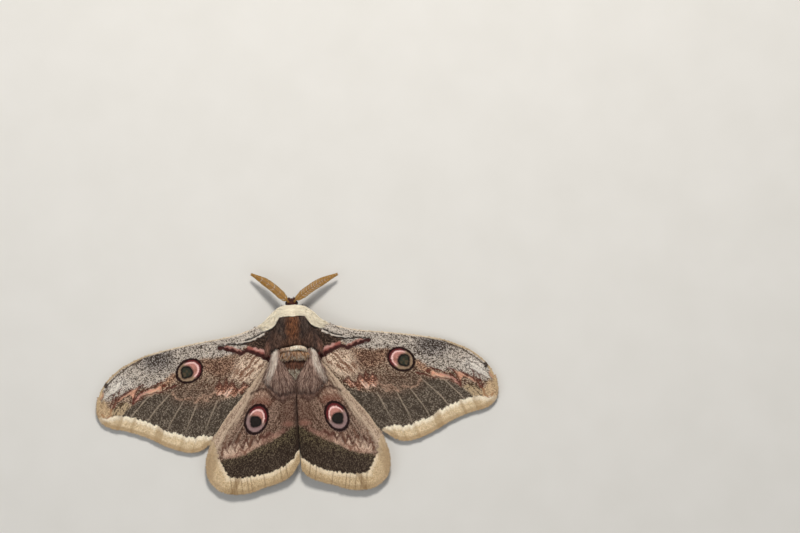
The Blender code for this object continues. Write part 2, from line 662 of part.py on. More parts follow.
def fuse(node, pieces):
    """Join the pieces to the node with one union, and keep its largest closed surface."""
    collection = bpy.data.collections.new("pieces")
    bpy.context.scene.collection.children.link(collection)
    for piece in pieces:
        piece.parent = node.parent
        collection.objects.link(piece)
    union = node.modifiers.new("Union", "BOOLEAN")
    union.operation = "UNION"
    union.operand_type = "COLLECTION"
    union.collection = collection
    union.solver = "MANIFOLD"
    bpy.context.view_layer.update()
    evaluated = node.evaluated_get(bpy.context.evaluated_depsgraph_get())
    joined = bpy.data.meshes.new_from_object(evaluated)
    node.modifiers.remove(union)
    for piece in pieces:
        bpy.data.objects.remove(piece, do_unlink=True)
    bpy.data.collections.remove(collection)
    bm = bmesh.new()
    bm.from_mesh(joined)
    keep_largest(bm)
    bm.to_mesh(node.data)
    bm.free()
    bpy.data.meshes.remove(joined)


def keep_largest(bm):
    """Delete every closed surface but the one with the most faces."""
    left = set(bm.faces)
    groups = []
    while left:
        todo = [left.pop()]
        group = set(todo)
        while todo:
            for edge in todo.pop().edges:
                for face in edge.link_faces:
                    if face in left:
                        left.remove(face)
                        group.add(face)
                        todo.append(face)
        groups.append(group)
    groups.sort(key=len)
    scraps = [face for group in groups[:-1] for face in group]
    bmesh.ops.delete(bm, geom=scraps, context="FACES")


def build_leg(pair, side):
    """A leg from the underside of the thorax to a claw that lies flat on the ground."""
    mirror = -1 if side == "left" else 1
    y, degrees = LEG_ROOTS[pair]
    angle = math.radians(degrees)
    root = body_point(y * MM, angle)
    middle = Vector((0, y * MM, (body_section(y * MM)[1] + body_section(y * MM)[2]) / 2))
    outwards = (root - middle).normalized()
    route = [root + outwards * GAP, root + outwards * LEG_STUB]
    route += [Vector(p) * MM for p in LEG_POINTS[pair]]
    path = smooth_path([tuple(p) for p in route], LEG_STEP)
    reach = np.linspace(0, 1, len(path))
    radii = np.interp(reach, LEG_REACH, LEG_RADII)
    points = [(mirror * p[0], p[1], p[2]) for p in path]
    bm = tube_bmesh(points, radii, 8)
    cut_flat(bm, (0, 0, 0), (0, 0, -1))
    make_node(f"leg_{pair}_{side}", "leg", bm)


clear_scene()
parts = bpy.data.collections.new("giant_peacock_moth")
bpy.context.scene.collection.children.link(parts)
moth = bpy.data.objects.new("moth", None)
moth.location = (0, HINGE_LINE_Y, 0)
parts.objects.link(moth)
materials = {kind: make_material(kind) for kind in COLOURS}

build_head()
build_collar()
build_thorax()
build_abdomen()
for side in ("left", "right"):
    build_eye(side)
    build_antenna(side)
    build_wing(f"forewing_{side}", "forewing", side, FOREWING_OUTLINE, FOREWING_VEINS, forewing_height)
    build_wing(f"hindwing_{side}", "hindwing", side, HINDWING_OUTLINE, HINDWING_VEINS, hindwing_height,
               HINDWING_TURN[side], SEAM_HALF_GAP)
    for pair in LEG_ROOTS:
        build_leg(pair, side)
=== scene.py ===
# %% [markdown]
# # A giant peacock moth, seen from straight above
# The real animal is a body of soft hair between four thin wings, and all its colour sits in
# scales: tiny flat leaves that lie over each other like slates on a roof. A picture pasted on flat
# wings would give the colour without the depth. Here the markings are painted by formulas, once,
# and the same paint colours the wing's skin and the scales that lie on it. The hair of the body
# has a paint of its own, made in the same way.

# %% Load the frame
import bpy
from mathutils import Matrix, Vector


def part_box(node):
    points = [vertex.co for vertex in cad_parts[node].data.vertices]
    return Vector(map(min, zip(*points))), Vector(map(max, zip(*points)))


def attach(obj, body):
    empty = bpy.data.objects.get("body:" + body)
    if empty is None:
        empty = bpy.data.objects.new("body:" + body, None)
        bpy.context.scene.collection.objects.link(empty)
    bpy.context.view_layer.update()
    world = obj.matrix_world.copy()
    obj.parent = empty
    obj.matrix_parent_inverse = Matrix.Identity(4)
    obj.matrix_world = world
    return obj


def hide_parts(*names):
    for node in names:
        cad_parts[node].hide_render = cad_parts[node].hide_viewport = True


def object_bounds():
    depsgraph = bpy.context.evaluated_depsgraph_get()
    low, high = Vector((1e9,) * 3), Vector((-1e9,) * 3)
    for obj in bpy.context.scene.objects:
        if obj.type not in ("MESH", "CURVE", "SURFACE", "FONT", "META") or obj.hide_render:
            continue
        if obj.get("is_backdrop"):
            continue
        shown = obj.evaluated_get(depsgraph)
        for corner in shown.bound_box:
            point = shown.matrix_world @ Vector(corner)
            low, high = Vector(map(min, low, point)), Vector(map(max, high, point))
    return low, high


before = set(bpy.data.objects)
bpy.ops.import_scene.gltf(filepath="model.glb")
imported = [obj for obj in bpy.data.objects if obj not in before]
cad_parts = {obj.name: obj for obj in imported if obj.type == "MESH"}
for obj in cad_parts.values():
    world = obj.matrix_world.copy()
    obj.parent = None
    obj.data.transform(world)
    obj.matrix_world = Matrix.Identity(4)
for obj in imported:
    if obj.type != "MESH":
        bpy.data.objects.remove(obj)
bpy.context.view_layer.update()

# %% [markdown]
# ## Measures
# Every place below is in millimetres, counted from the line through the hinges of the forewings,
# with x to the moth's right and y to its head. That keeps the numbers near those of a field guide.
# Blender works in metres, so one function at the end of each mesh turns millimetres into metres.

# %% Units, the hinge line, the two sides and the one source of random numbers
import math

import bmesh
import bpy
import numpy as np
from mathutils import Vector
from mathutils.geometry import delaunay_2d_cdt

MM = 0.001
HINGE_LINE_Y = 13.8
SIDES = {"left": -1.0, "right": 1.0}
draw = np.random.default_rng(20)


def to_metres(points):
    """Places in mm from the hinge line, as metres from under the middle of the moth."""
    return (np.asarray(points) + (0.0, HINGE_LINE_Y, 0.0)) * MM


def node_box(node):
    """Lowest and highest corner of a solid, in mm from the hinge line."""
    return [np.array(corner) / MM - (0.0, HINGE_LINE_Y, 0.0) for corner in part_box(node)]


wing_span = node_box("forewing_right")[1][0] - node_box("forewing_left")[0][0]
print("wing span", round(wing_span, 1), "mm")

# %% [markdown]
# ## Soft edges, lumps and lines
# Nature's markings have soft edges and uneven borders. Blender's noise nodes could give them, but
# the mesh needs the same answer as the paint, for instance to know which scale is dark. So the few
# things that a painter needs are written as short functions on whole arrays of places.

# %% Helpers that work on many places at once
def turn_on(value, low, high):
    """0 below low, 1 above high and an even turn between."""
    t = np.clip((value - low) / (high - low), 0.0, 1.0)
    return t * t * (3 - 2 * t)


def turn_off(value, low, high):
    """1 below low, 0 above high and an even turn between."""
    return 1 - turn_on(value, low, high)


def lumps(x, y, seed):
    """Random lumps from 0 to 1, about one to each unit of length."""
    column, row = np.floor(x), np.floor(y)
    across, up = turn_on(x - column, 0, 1), turn_on(y - row, 0, 1)

    def corner(dx, dy):
        value = np.sin((column + dx) * 127.1 + (row + dy) * 311.7 + seed * 74.7) * 43758.5453
        return value - np.floor(value)

    near = corner(0, 0) * (1 - across) + corner(1, 0) * across
    far = corner(0, 1) * (1 - across) + corner(1, 1) * across
    return near * (1 - up) + far * up


def gap_to(x, y, line):
    """Distance to a line through points, and how far along the line, from 0 to 1, it is nearest."""
    best, along = np.full(np.shape(x), 1e9), np.zeros(np.shape(x))
    line = np.asarray(line, float)
    for i, (a, b) in enumerate(zip(line, line[1:])):
        step = b - a
        t = np.clip(((x - a[0]) * step[0] + (y - a[1]) * step[1]) / (step @ step), 0, 1)
        gap = np.hypot(x - a[0] - t * step[0], y - a[1] - t * step[1])
        along = np.where(gap < best, (i + t) / (len(line) - 1), along)
        best = np.minimum(gap, best)
    return best, along


def within(x, y, corners):
    """Whether each place lies inside a closed outline."""
    hit = np.zeros(np.shape(x), bool)
    for a, b in zip(corners, np.roll(corners, -1, axis=0)):
        if a[1] != b[1]:
            crosses = (a[1] > y) != (b[1] > y)
            hit ^= crosses & (x < a[0] + (y - a[1]) * (b[0] - a[0]) / (b[1] - a[1]))
    return hit


def smooth_line(points, step):
    """A smooth curve through the points, with a new point about every step."""
    points = np.asarray(points, float)
    padded = np.vstack([2 * points[0] - points[1], points, 2 * points[-1] - points[-2]])
    out = []
    for i in range(1, len(padded) - 2):
        a, b, c, d = padded[i - 1:i + 3]
        count = max(1, round(float(np.linalg.norm(c - b)) / step))
        for t in np.arange(count) / count:
            out.append(0.5 * (2 * b + (c - a) * t + (2 * a - 5 * b + 4 * c - d) * t ** 2
                              + (3 * b - a - 3 * c + d) * t ** 3))
    out.append(points[-1])
    return np.array(out)


print("halfway on a soft edge is", float(turn_on(0.5, 0, 1)))

# %% [markdown]
# ## The paint box
# A colour is easiest to name as it looks on a screen, from 0 to 255. Blender adds and mixes light,
# so each is turned into light before use. The names are those of pigments and everyday things.

# %% Colours
def screen(red, green, blue):
    """A colour as it looks on a screen, turned into amounts of light."""
    return (np.array((red, green, blue)) / 255.0) ** 2.2


def mix_colours(first, second, share):
    """A colour for each place: the first where its share is 0, the second where it is 1."""
    return first + (second - first) * share[:, None]


SOOT = screen(38, 21, 18)
BISTRE = screen(58, 42, 33)
CREAM = screen(226, 204, 168)
BONE = screen(224, 214, 202)
OXBLOOD = screen(88, 42, 34)
CRIMSON = screen(112, 44, 46)
WINE = screen(64, 26, 28)
ROSE = screen(206, 148, 132)
APRICOT = screen(226, 168, 138)
OCHRE = screen(164, 119, 57)
print("soot as light", np.round(SOOT, 3))


# %% [markdown]
# ## A canvas of scales
# On the wing a colour is never flat. Each scale is one plain colour, and a grey is a crowd of white
# and black scales. The canvas keeps a random number for each scale, its dust. Speckle compares
# the dust with a share, so that the same formula gives pepper, salt or a plain colour.

# %% The canvas
WOBBLE = 0.55


class Canvas:
    """Places on a wing in mm, a random value for each, and the colour laid so far."""

    def __init__(self, x, y, dust, seed):
        self.flat_x, self.flat_y, self.dust = x, y, dust
        self.x = x + WOBBLE * (lumps(x * 1.3, y * 1.3, seed) - 0.5)
        self.y = y + WOBBLE * (lumps(x * 1.3, y * 1.3, seed + 1) - 0.5)
        self.colour = np.zeros((len(x), 3))

    def speckle(self, share, light, dark, soft=0.12):
        """Light and dark scales mixed, with a share of them light. A soft mix has shades between."""
        lit = turn_on(share - self.dust, -soft, soft)
        return dark + (light - dark) * np.broadcast_to(lit, self.dust.shape)[:, None]

    def lay(self, colour, cover=1.0):
        """Paint over what is there, fully where cover is 1."""
        cover = np.broadcast_to(cover, self.dust.shape)[:, None]
        self.colour = self.colour + (colour - self.colour) * cover

    def line(self, points, half_width, colour, strength=1.0, soft=0.3, taper=0.0):
        """Paint along a line, which may narrow towards its end."""
        gap, along = gap_to(self.x, self.y, points)
        edge = half_width * (1 - taper * along)
        self.lay(colour, strength * turn_off(gap, edge - soft / 2, edge + soft))

    def field(self, corners, soft):
        """1 inside an outline and 0 outside it."""
        gap, _ = gap_to(self.x, self.y, [*corners, corners[0]])
        return turn_on(np.where(within(self.x, self.y, corners), gap, -gap), -soft, soft)

    def oval(self, centre, radii, soft=0.4):
        """1 inside an oval and 0 outside it."""
        away = np.hypot((self.x - centre[0]) / radii[0], (self.y - centre[1]) / radii[1])
        return turn_off(away, 1 - soft, 1 + soft)

    def streaks(self, degrees, length, width, seed):
        """Long thin lumps that run in one direction."""
        c, s = math.cos(math.radians(degrees)), math.sin(math.radians(degrees))
        along, across = self.x * c + self.y * s, self.y * c - self.x * s
        return lumps(along / length, across / width, seed)


# %% [markdown]
# ## The eyespots
# Each wing has a false eye: a dark glassy pupil in rings of tan, rose and crimson, with a thin pale
# arc on the side of the body. One function draws all four. It measures each place from the
# middle of the oval, in radii, so each ring is only a range of that distance.

# %% One function for every eyespot
def paint_eyespot(canvas, centre, radii, lean, pupil, pupil_radius, body_side, glass, redness=0.0):
    """Rings round a pupil. The crimson and the pale arc face body_side, an angle in degrees."""
    c, s = math.cos(math.radians(lean)), math.sin(math.radians(lean))
    dx, dy = canvas.flat_x - centre[0], canvas.flat_y - centre[1]
    r = np.hypot((dx * c + dy * s) / radii[0], (dy * c - dx * s) / radii[1])
    r = r + 0.05 * (lumps(dx * 2.2, dy * 2.2, 5) - 0.5)
    inward = 0.5 + 0.5 * np.cos(np.arctan2(dy, dx) - math.radians(body_side))
    edge = turn_off(r, 0.98, 1.04)
    canvas.lay(screen(152, 128, 112) * (1 - redness) + redness * screen(160, 134, 108), edge)
    canvas.lay(screen(150, 122, 122), 0.8 * (1 - redness) * edge * turn_off(inward, 0.3, 0.6))
    canvas.lay(screen(192, 132, 120), edge * turn_on(inward, 0.4, 0.8))
    canvas.lay(screen(132, 92, 72), 0.6 * edge * turn_on(lumps(dx * 0.9, dy * 0.9, 15), 0.45, 0.8)
               * turn_on(inward, 0.4, 0.7) * turn_off(r, 0.5, 0.62))
    arc_r = 0.60 + 0.06 * redness
    arc = turn_on(r, arc_r - 0.09, arc_r - 0.03) * turn_off(r, arc_r + 0.03, arc_r + 0.08)
    canvas.lay(screen(246, 204, 196), 0.95 * arc * turn_on(inward, 0.4, 0.7))
    canvas.lay(WINE, edge * turn_on(r, arc_r + 0.04, arc_r + 0.10) * turn_on(inward, 0.45, 0.7))
    canvas.lay(CRIMSON, 0.85 * edge * turn_on(r, arc_r + 0.05, arc_r + 0.11)
               * turn_off(r, arc_r + 0.18, arc_r + 0.25) * turn_on(inward, 0.5, 0.8))
    rim = 0.78 + 0.05 * turn_on(inward, 0.4, 0.8)
    canvas.lay(screen(34, 13, 9), edge * turn_on(r, rim - 0.02, rim + 0.06))
    spin = np.arctan2(canvas.flat_y - pupil[1], canvas.flat_x - pupil[0])
    away = np.hypot(canvas.flat_x - pupil[0], canvas.flat_y - pupil[1]) / pupil_radius
    away = away * (1 + 0.05 * np.cos(4 * spin + 0.6) + 0.04 * np.cos(3 * spin))
    away = away + 0.1 * (lumps(dx * 1.7, dy * 1.7, 9) - 0.5)
    canvas.lay(screen(84, 62, 54), 0.6 * turn_off(away, 1.05, 1.25))
    canvas.lay(screen(26, 22, 19), turn_off(away, 0.92, 1.08))
    canvas.lay(glass, 0.75 * turn_off(away, 0.6, 0.85))
    shine = lumps(dx * 1.3, dy * 1.3, 19) * turn_off(away, 0.6, 0.9)
    canvas.lay(screen(104, 82, 60), 0.5 * redness * turn_on(shine, 0.4, 0.8))


# %% [markdown]
# ## The forewing's markings
# Along the front edge lie white and black scales in changing shares. Behind them is a brown field
# with the eyespot, then a toothed line, a dark field cut by pale veins and the cream border. The
# outlines are given as short lists of places, and the soft edges do the rest.

# %% Outlines and veins of the forewing
FOREWING_OUTLINE = [
    (5.5, 7.2), (9.4, 5.4), (14.5, 3.3), (21.0, 1.6), (32.0, 0.1), (41.0, -1.4), (49.0, -3.3),
    (57.0, -7.0), (62.0, -11.4), (64.3, -15.8), (64.8, -19.8), (63.9, -23.2), (61.0, -25.4),
    (55.0, -26.9), (48.8, -29.3), (42.3, -32.7), (36.0, -34.7), (32.3, -34.3), (29.2, -32.4),
    (25.8, -30.2), (18.0, -22.2), (9.0, -10.5), (5.5, -4.0)]
FOREWING_VEINS = {
    "subcosta": [(7.0, 5.8), (20.0, 0.6), (34.0, -1.0), (46.0, -3.2)],
    "radius": [(7.0, 4.6), (20.0, -1.5), (33.0, -5.2)],
    "radius_2": [(26.0, -3.4), (42.0, -4.4), (55.0, -6.8)],
    "radius_4": [(33.0, -5.2), (47.0, -7.8), (57.0, -11.6), (63.4, -16.0)],
    "radius_5": [(33.0, -5.2), (46.0, -10.6), (56.0, -16.0), (62.6, -22.4)],
    "media_1": [(34.0, -6.6), (41.0, -11.4), (48.0, -16.2), (52.6, -21.0), (56.6, -25.6)],
    "media_2": [(34.4, -8.8), (36.4, -11.6), (41.0, -15.8), (46.5, -21.2), (51.0, -27.2)],
    "media_3": [(33.2, -12.4), (36.4, -17.8), (41.0, -24.6), (44.2, -30.8)],
    "cell_end": [(33.0, -5.2), (34.4, -8.8), (33.2, -12.4)],
    "cubitus": [(7.0, 2.2), (19.0, -7.6), (28.0, -11.8), (33.2, -12.4)],
    "cubitus_1": [(29.0, -12.0), (32.0, -18.6), (35.6, -26.0), (38.4, -33.2)],
    "cubitus_2": [(21.5, -9.2), (25.2, -17.6), (29.0, -25.4), (32.2, -33.2)],
    "anal": [(7.0, 0.0), (14.0, -9.6), (21.0, -18.6), (27.2, -26.6), (29.4, -31.4)],
}


# %% The brown middle of the forewing
def paint_middle(canvas):
    """Brown ground with tan streaks behind the root and a redder patch before the eyespot."""
    fine = canvas.streaks(-44, 2.6, 0.36, 3)
    wide = canvas.streaks(-48, 5.0, 0.8, 4)
    canvas.lay(canvas.speckle(0.06 + 0.34 * fine + 0.2 * wide,
                              screen(204, 178, 152), screen(76, 54, 42), 0.18))
    canvas.lay(screen(78, 58, 46), 0.35 * canvas.oval((30, -14.0), (7.5, 2.4), 0.6))
    canvas.lay(screen(98, 62, 48), 0.35 * turn_on(wide, 0.5, 0.9))
    tan = canvas.field([(7.5, -5), (12, -4), (17, -4.6), (20, -8), (20.6, -12), (17, -14), (12, -11)], 1.8)
    streaky = canvas.speckle(0.2 + 0.75 * fine + 0.2 * wide, screen(236, 211, 185), screen(120, 88, 68), 0.14)
    canvas.lay(streaky, 0.95 * tan)
    canvas.lay(screen(116, 74, 52), 0.75 * tan * turn_on(canvas.streaks(-45, 3.4, 0.42, 8), 0.52, 0.75))
    red = canvas.field([(19, -5), (29.5, -5.2), (29.5, -9), (24, -11.5), (19, -9.5)], 1.5)
    canvas.lay(canvas.speckle(0.1 + 0.5 * fine, screen(164, 122, 96), screen(74, 48, 37), 0.25), 0.7 * red)


# %% White and black scales along the front
COSTAL_BOUND_X = (5, 14, 18, 25, 31, 38, 41, 47, 51, 55, 59, 62, 66)
COSTAL_BOUND_Y = (2, -0.6, -3.6, -5.0, -5.0, -8.0, -10.6, -13.2, -13.4, -14.6, -16.6, -17.5, -17.0)


def paint_costal(canvas):
    """Salt and pepper, nearly white by the tip and blue-black before it."""
    bound = np.interp(canvas.x, COSTAL_BOUND_X, COSTAL_BOUND_Y)
    cover = turn_on(canvas.y - bound, -0.5, 0.7)
    blue = canvas.oval((45, -4.6), (5.4, 3.6), 0.6)
    white = canvas.oval((58.4, -11.6), (4.6, 2.6), 0.5)
    share = 0.56 + 0.14 * canvas.oval((14, 2.5), (9, 2.5), 0.6) - 0.30 * blue + 0.14 * white
    share = share + 0.10 * canvas.oval((22, -1.6), (5, 1.8), 0.6)
    share = share + 0.10 * canvas.oval((52, -8), (4, 3.0), 0.6)
    share = share + 0.26 * (lumps(canvas.x * 0.9, canvas.y * 1.4, 7) - 0.5)
    light = mix_colours(mix_colours(screen(206, 194, 180), BONE, white), screen(176, 166, 158), blue)
    dark = mix_colours(screen(68, 54, 44), screen(64, 55, 49), blue)
    canvas.lay(canvas.speckle(share, light, dark, 0.22), cover)


# %% The dark rear field and its pale veins
REAR_FIELD = [(14, -16), (18, -17.4), (22, -18.6), (26, -18.8), (30, -19.6), (34, -18.6), (38, -17.6),
              (41, -15.7), (46, -15.6), (50, -16.8), (53.5, -19), (55.5, -20.2), (58.8, -21.5),
              (54, -28), (36, -36), (20, -30)]


def paint_rear(canvas):
    """Slate brown with a pale line on each vein."""
    cover = canvas.field(REAR_FIELD, 0.6)
    grain = canvas.streaks(-55, 2.4, 0.4, 9)
    canvas.lay(canvas.speckle(0.12 + 0.24 * grain, screen(142, 128, 112), screen(68, 58, 49), 0.2), cover)
    above = canvas.field([(24, -16), (33, -14.5), (40, -13.6), (44, -15.4), (40, -19), (33, -21),
                          (26, -21)], 1.6)
    canvas.lay(canvas.speckle(0.24, screen(142, 116, 98), screen(72, 58, 48), 0.2), 0.6 * above)
    for vein in ("media_1", "media_2", "media_3", "cubitus_1", "cubitus_2"):
        gap, _ = gap_to(canvas.flat_x, canvas.flat_y, FOREWING_VEINS[vein][1:])
        pale = turn_off(gap, 0.06, 0.3) * turn_on(canvas.dust, 0.1, 0.6) * turn_off(-canvas.flat_y, 22, 32)
        canvas.lay(screen(178, 160, 138), 0.85 * cover * pale)


# %% The toothed line across the forewing
FLAMES = [(15.6, -14.6), (17.0, -13.6), (17.9, -15.0), (19.4, -15.4), (20.7, -12.9), (21.6, -14.2),
          (22.8, -12.5), (23.5, -14.4), (24.7, -12.9), (26.4, -14.9), (25.9, -17.2), (23.9, -16.6),
          (22.9, -17.9), (21.4, -17.0), (20.2, -17.9), (18.8, -16.6), (17.6, -17.2)]


def paint_teeth(canvas):
    """Apricot flames edged in dark red, first near the body, then out to the tip."""
    flames = canvas.field(FLAMES, 0.35)
    c, s = math.cos(math.radians(-54)), math.sin(math.radians(-54))
    along, across = canvas.flat_x * c + canvas.flat_y * s, canvas.flat_y * c - canvas.flat_x * s
    tongue = lumps(along / 5, across / 0.5, 77)
    low = turn_on(-canvas.flat_y - 0.12 * canvas.flat_x, 11.6, 13.6)
    flame = canvas.speckle(0.7 * tongue + 0.15 * low - 0.12, screen(226, 166, 136), screen(94, 58, 45), 0.2)
    canvas.lay(flame, 0.95 * flames)
    canvas.lay(screen(240, 210, 188), 0.75 * flames * low * turn_on(tongue, 0.5, 0.8))
    canvas.line([(15.4, -14.9), (17.0, -13.4), (17.9, -15.0), (19.5, -15.4), (20.7, -12.6), (21.6, -14.2),
                 (22.8, -12.3), (23.5, -14.3), (24.7, -12.7), (26.0, -14.4)],
                0.2, screen(80, 46, 38), strength=0.85, soft=0.45)
    tan = canvas.speckle(0.6, screen(186, 152, 128), screen(96, 68, 54), 0.2)
    for scallop in ([(26, -15.5), (28.6, -17.6), (30.6, -16.6)], [(29, -18.8), (31, -17.4), (33, -19.0)],
                    [(34.2, -17.4), (37, -18.0), (39.4, -17.2), (40.2, -15.6)]):
        canvas.line(scallop, 0.3, tan, 0.75, 0.45)
    blush = canvas.speckle(0.5, screen(208, 166, 134), screen(92, 60, 46), 0.2)
    canvas.line([(39.4, -10.2), (41.2, -11.8), (43.4, -13.0)], 0.8, blush, 0.75, 0.9)
    canvas.lay(screen(96, 48, 36), 0.9 * canvas.oval((42.9, -12.9), (0.9, 0.7)))
    glow = canvas.speckle(0.9, APRICOT, screen(160, 108, 84), 0.25)
    canvas.line([(44.4, -13.9), (46.2, -14.6), (48.0, -14.8)], 0.55, glow, soft=0.5, taper=0.5)
    canvas.line([(44.8, -14.6), (47.0, -15.4), (49.4, -15.7)], 0.4, screen(206, 176, 150), 0.7, 0.5)
    canvas.line([(46.8, -14.3), (50, -15.3), (52.1, -16.9), (53.0, -18.2)], 0.14, ROSE, 0.8, 0.25)
    between = canvas.field([(51.2, -13.2), (54.4, -14.6), (53.6, -15.8), (53.2, -17.4), (52.2, -15.4)], 0.3)
    canvas.lay(glow, 0.8 * between)
    canvas.line([(54.2, -14.9), (56.6, -16.2), (58.6, -17.6), (59.9, -19.4)], 0.2, glow, 0.6, 0.25, 0.5)
    for tooth, half_width in (
            ([(38.8, -13.2), (41.5, -14.0), (44, -15.0), (47, -15.3), (50, -16.2), (53.5, -18.7)], 0.18),
            ([(43.4, -11.9), (46.5, -13.0), (49.6, -14.3), (51.9, -16.0), (53.3, -18.2)], 0.18),
            ([(49.4, -12.4), (51.0, -12.9), (52.4, -15.4), (53.4, -18.0)], 0.2),
            ([(53.2, -13.7), (55.0, -14.6), (57.2, -15.9), (59.0, -18.0), (60.3, -20.2)], 0.2),
            ([(57.0, -13.2), (57.7, -15.4), (59.2, -17.2)], 0.18),
            ([(59.2, -14.7), (59.8, -17.2), (60.4, -18.6)], 0.16)):
        canvas.line(tooth, 0.8 * half_width, OXBLOOD, 0.9)


# %% The cream border and the tan tip
BORDER_X = (26, 28.5, 31, 33.8, 36, 40, 43, 46, 50, 54, 58, 61, 66)
BORDER_Y = (-31.6, -30.4, -29.7, -30.7, -30.1, -28.6, -27.8, -25.9, -24.1, -22.7, -22.0, -22.4, -22.4)
APEX_TAN = [(60.6, -19.8), (62.2, -17.2), (62.8, -14.6), (64.6, -12), (70, -20), (64, -28), (57, -24),
            (60, -22)]


def ragged(value, seed):
    """The border's inner edge steps a little with every few scales."""
    wide, fine = lumps(value / 0.7, 0 * value, seed), lumps(value / 0.3, 0 * value, seed + 1)
    return 0.7 * (wide - 0.5) + 0.5 * (fine - 0.5)


def paint_border(canvas):
    """Cream with a painted highlight along its inner edge, painted shade in the folds and towards the outer
    edge, and tan scales at the tip.
    """
    tan = canvas.field([(53.8, -18.8), (56.4, -17.3), (59.3, -19.4), (61, -20.8), (60, -22.4),
                        (57, -21.6)], 0.4)
    dark_share = 0.9 - 0.8 * turn_on(canvas.streaks(-48, 3.0, 0.45, 12), 0.45, 0.75)
    canvas.lay(canvas.speckle(dark_share - 0.12, screen(190, 166, 132), screen(80, 62, 46), 0.25), tan)
    canvas.lay(canvas.speckle(0.6, screen(206, 178, 142), screen(152, 124, 92), 0.25),
               canvas.field(APEX_TAN, 0.6))
    inner = np.interp(canvas.flat_x, BORDER_X, BORDER_Y) + ragged(canvas.flat_x, 11)
    band = turn_off(canvas.flat_y - inner, -0.15, 0.15)
    rim, _ = gap_to(canvas.flat_x, canvas.flat_y, FOREWING_OUTLINE[9:20])
    canvas.lay(canvas.speckle(0.65, CREAM, screen(194, 168, 130), 0.4), band)
    # Painted highlight along the inner edge of the cream band.
    canvas.lay(screen(252, 241, 218), 0.8 * band * turn_on(canvas.flat_y - inner, -2.0, -0.5))
    # Painted shade in the folds of the border, on the same lumps as the folds of its relief.
    fold = lumps((canvas.flat_x + 0.4 * canvas.flat_y) / 1.5, 0 * canvas.x, 14)
    canvas.lay(screen(162, 134, 98), 0.55 * band * turn_on(fold, 0.55, 0.9))
    # Painted shade towards the outer edge.
    canvas.lay(screen(160, 130, 92), 0.65 * band * turn_off(rim, 0.2, 1.3))
    canvas.line([(60.3, -19.8), (60.7, -21.8), (62.2, -22.7), (63.5, -21.4)], 0.16, screen(164, 116, 80), 0.8)


# %% The dark root, the edge and the spot by the tip
def paint_root(canvas):
    """Black behind the shoulder with a rosy border, and white between two black stripes."""
    root = canvas.field([(3, 6.6), (5.6, 4.6), (8, 2.9), (10.6, 1.8), (13.5, 0.2), (16.2, -0.9), (14.4, -1.9),
                         (12, -3.0), (9.8, -3.8), (7.6, -5.0), (3, -6)], 0.35)
    canvas.lay(canvas.speckle(0.18, screen(112, 90, 76), screen(48, 35, 27)), root)
    canvas.line([(8.0, -6.4), (10, -5.2), (12.5, -4.0), (15, -3.1), (17.4, -3.9), (20, -2.8), (24.4, -1.8)],
                0.95, screen(62, 33, 29), taper=0.5)
    canvas.line([(7.2, -5.4), (9.6, -4.2), (12, -3.2), (14.8, -2.2)], 0.5, screen(160, 94, 84),
                0.95, 0.45, 0.4)
    canvas.line([(8.4, -4.5), (10.4, -3.5), (12.8, -2.6)], 0.24, screen(214, 164, 152), 0.85, 0.4)
    canvas.line([(17.4, -3.1), (19.6, -2.1), (22.4, -1.4)], 0.24, screen(170, 114, 100), 0.85)
    canvas.line([(9.8, 2.3), (12.6, 0.95), (15.4, 0.25)], 0.26, screen(40, 32, 28), soft=0.2)
    canvas.line([(9.4, 1.9), (12.4, 0.6), (15.6, -0.3), (18.4, -0.7)], 0.22, screen(214, 202, 188), soft=0.2)
    canvas.line([(13.6, -0.3), (16.5, -0.9), (20, -1.0), (24.2, -1.2)], 0.2, screen(40, 32, 28))
    shoulder = canvas.field([(2, 12), (6, 9), (9.8, 5.6), (11.6, 4.0), (9, 3.2), (6.6, 4.2), (4, 6)], 0.5)
    canvas.lay(screen(232, 216, 190), shoulder)


def paint_edges(canvas):
    """A cream front edge, a thin dark line inside it and the black and rose marks by the tip."""
    rim, _ = gap_to(canvas.flat_x, canvas.flat_y, FOREWING_OUTLINE[2:11])
    cream = mix_colours(screen(222, 202, 172), screen(190, 164, 126), turn_on(canvas.x, 44, 50))
    canvas.lay(cream, 0.8 * turn_off(rim, 0.15, 0.5) * turn_on(canvas.x, 8, 14))
    canvas.line([(49.5, -4.3), (54, -6.3), (58.4, -9.2), (61.0, -11.8)], 0.2, screen(74, 58, 46), 0.9, 0.2)
    canvas.lay(SOOT, 0.9 * canvas.oval((61.6, -12.0), (0.7, 1.0), 0.35))
    wedge = canvas.field([(56.4, -10.4), (59.4, -12.0), (61.6, -13.9), (63.6, -17.0), (60.8, -15.6),
                          (57.6, -13.4)], 0.3)
    canvas.lay(canvas.speckle(0.9, screen(236, 228, 216), screen(150, 136, 124), 0.2), 0.65 * wedge)
    canvas.line([(62.6, -14.4), (63.6, -16.2)], 0.14, screen(176, 122, 104), 0.7)
    canvas.line([(55.6, -9.8), (59.6, -12.3), (61.8, -14.5), (63.6, -17.0)], 0.12, screen(70, 54, 46),
                0.6, 0.25)
    canvas.line([(57.4, -13.4), (60.6, -15.7), (63.4, -17.3)], 0.12, screen(84, 58, 50), 0.6, 0.25)


def forewing_paint(x, y, dust):
    """The colour of the forewing's upper side at places in mm."""
    canvas = Canvas(x, y, dust, 1)
    for layer in (paint_middle, paint_costal, paint_rear, paint_teeth, paint_border, paint_root, paint_edges):
        layer(canvas)
    paint_eyespot(canvas, (34.4, -8.75), (4.8, 3.8), -32, (35.25, -9.1), 2.05, 146, screen(62, 64, 52),
                  redness=1.0)
    return canvas.colour


sample = forewing_paint(np.array([35.1, 45.0]), np.array([-8.7, -30.0]), np.array([0.5, 0.5]))
print("forewing pupil", np.round(sample[0], 3), "border", np.round(sample[1], 3))
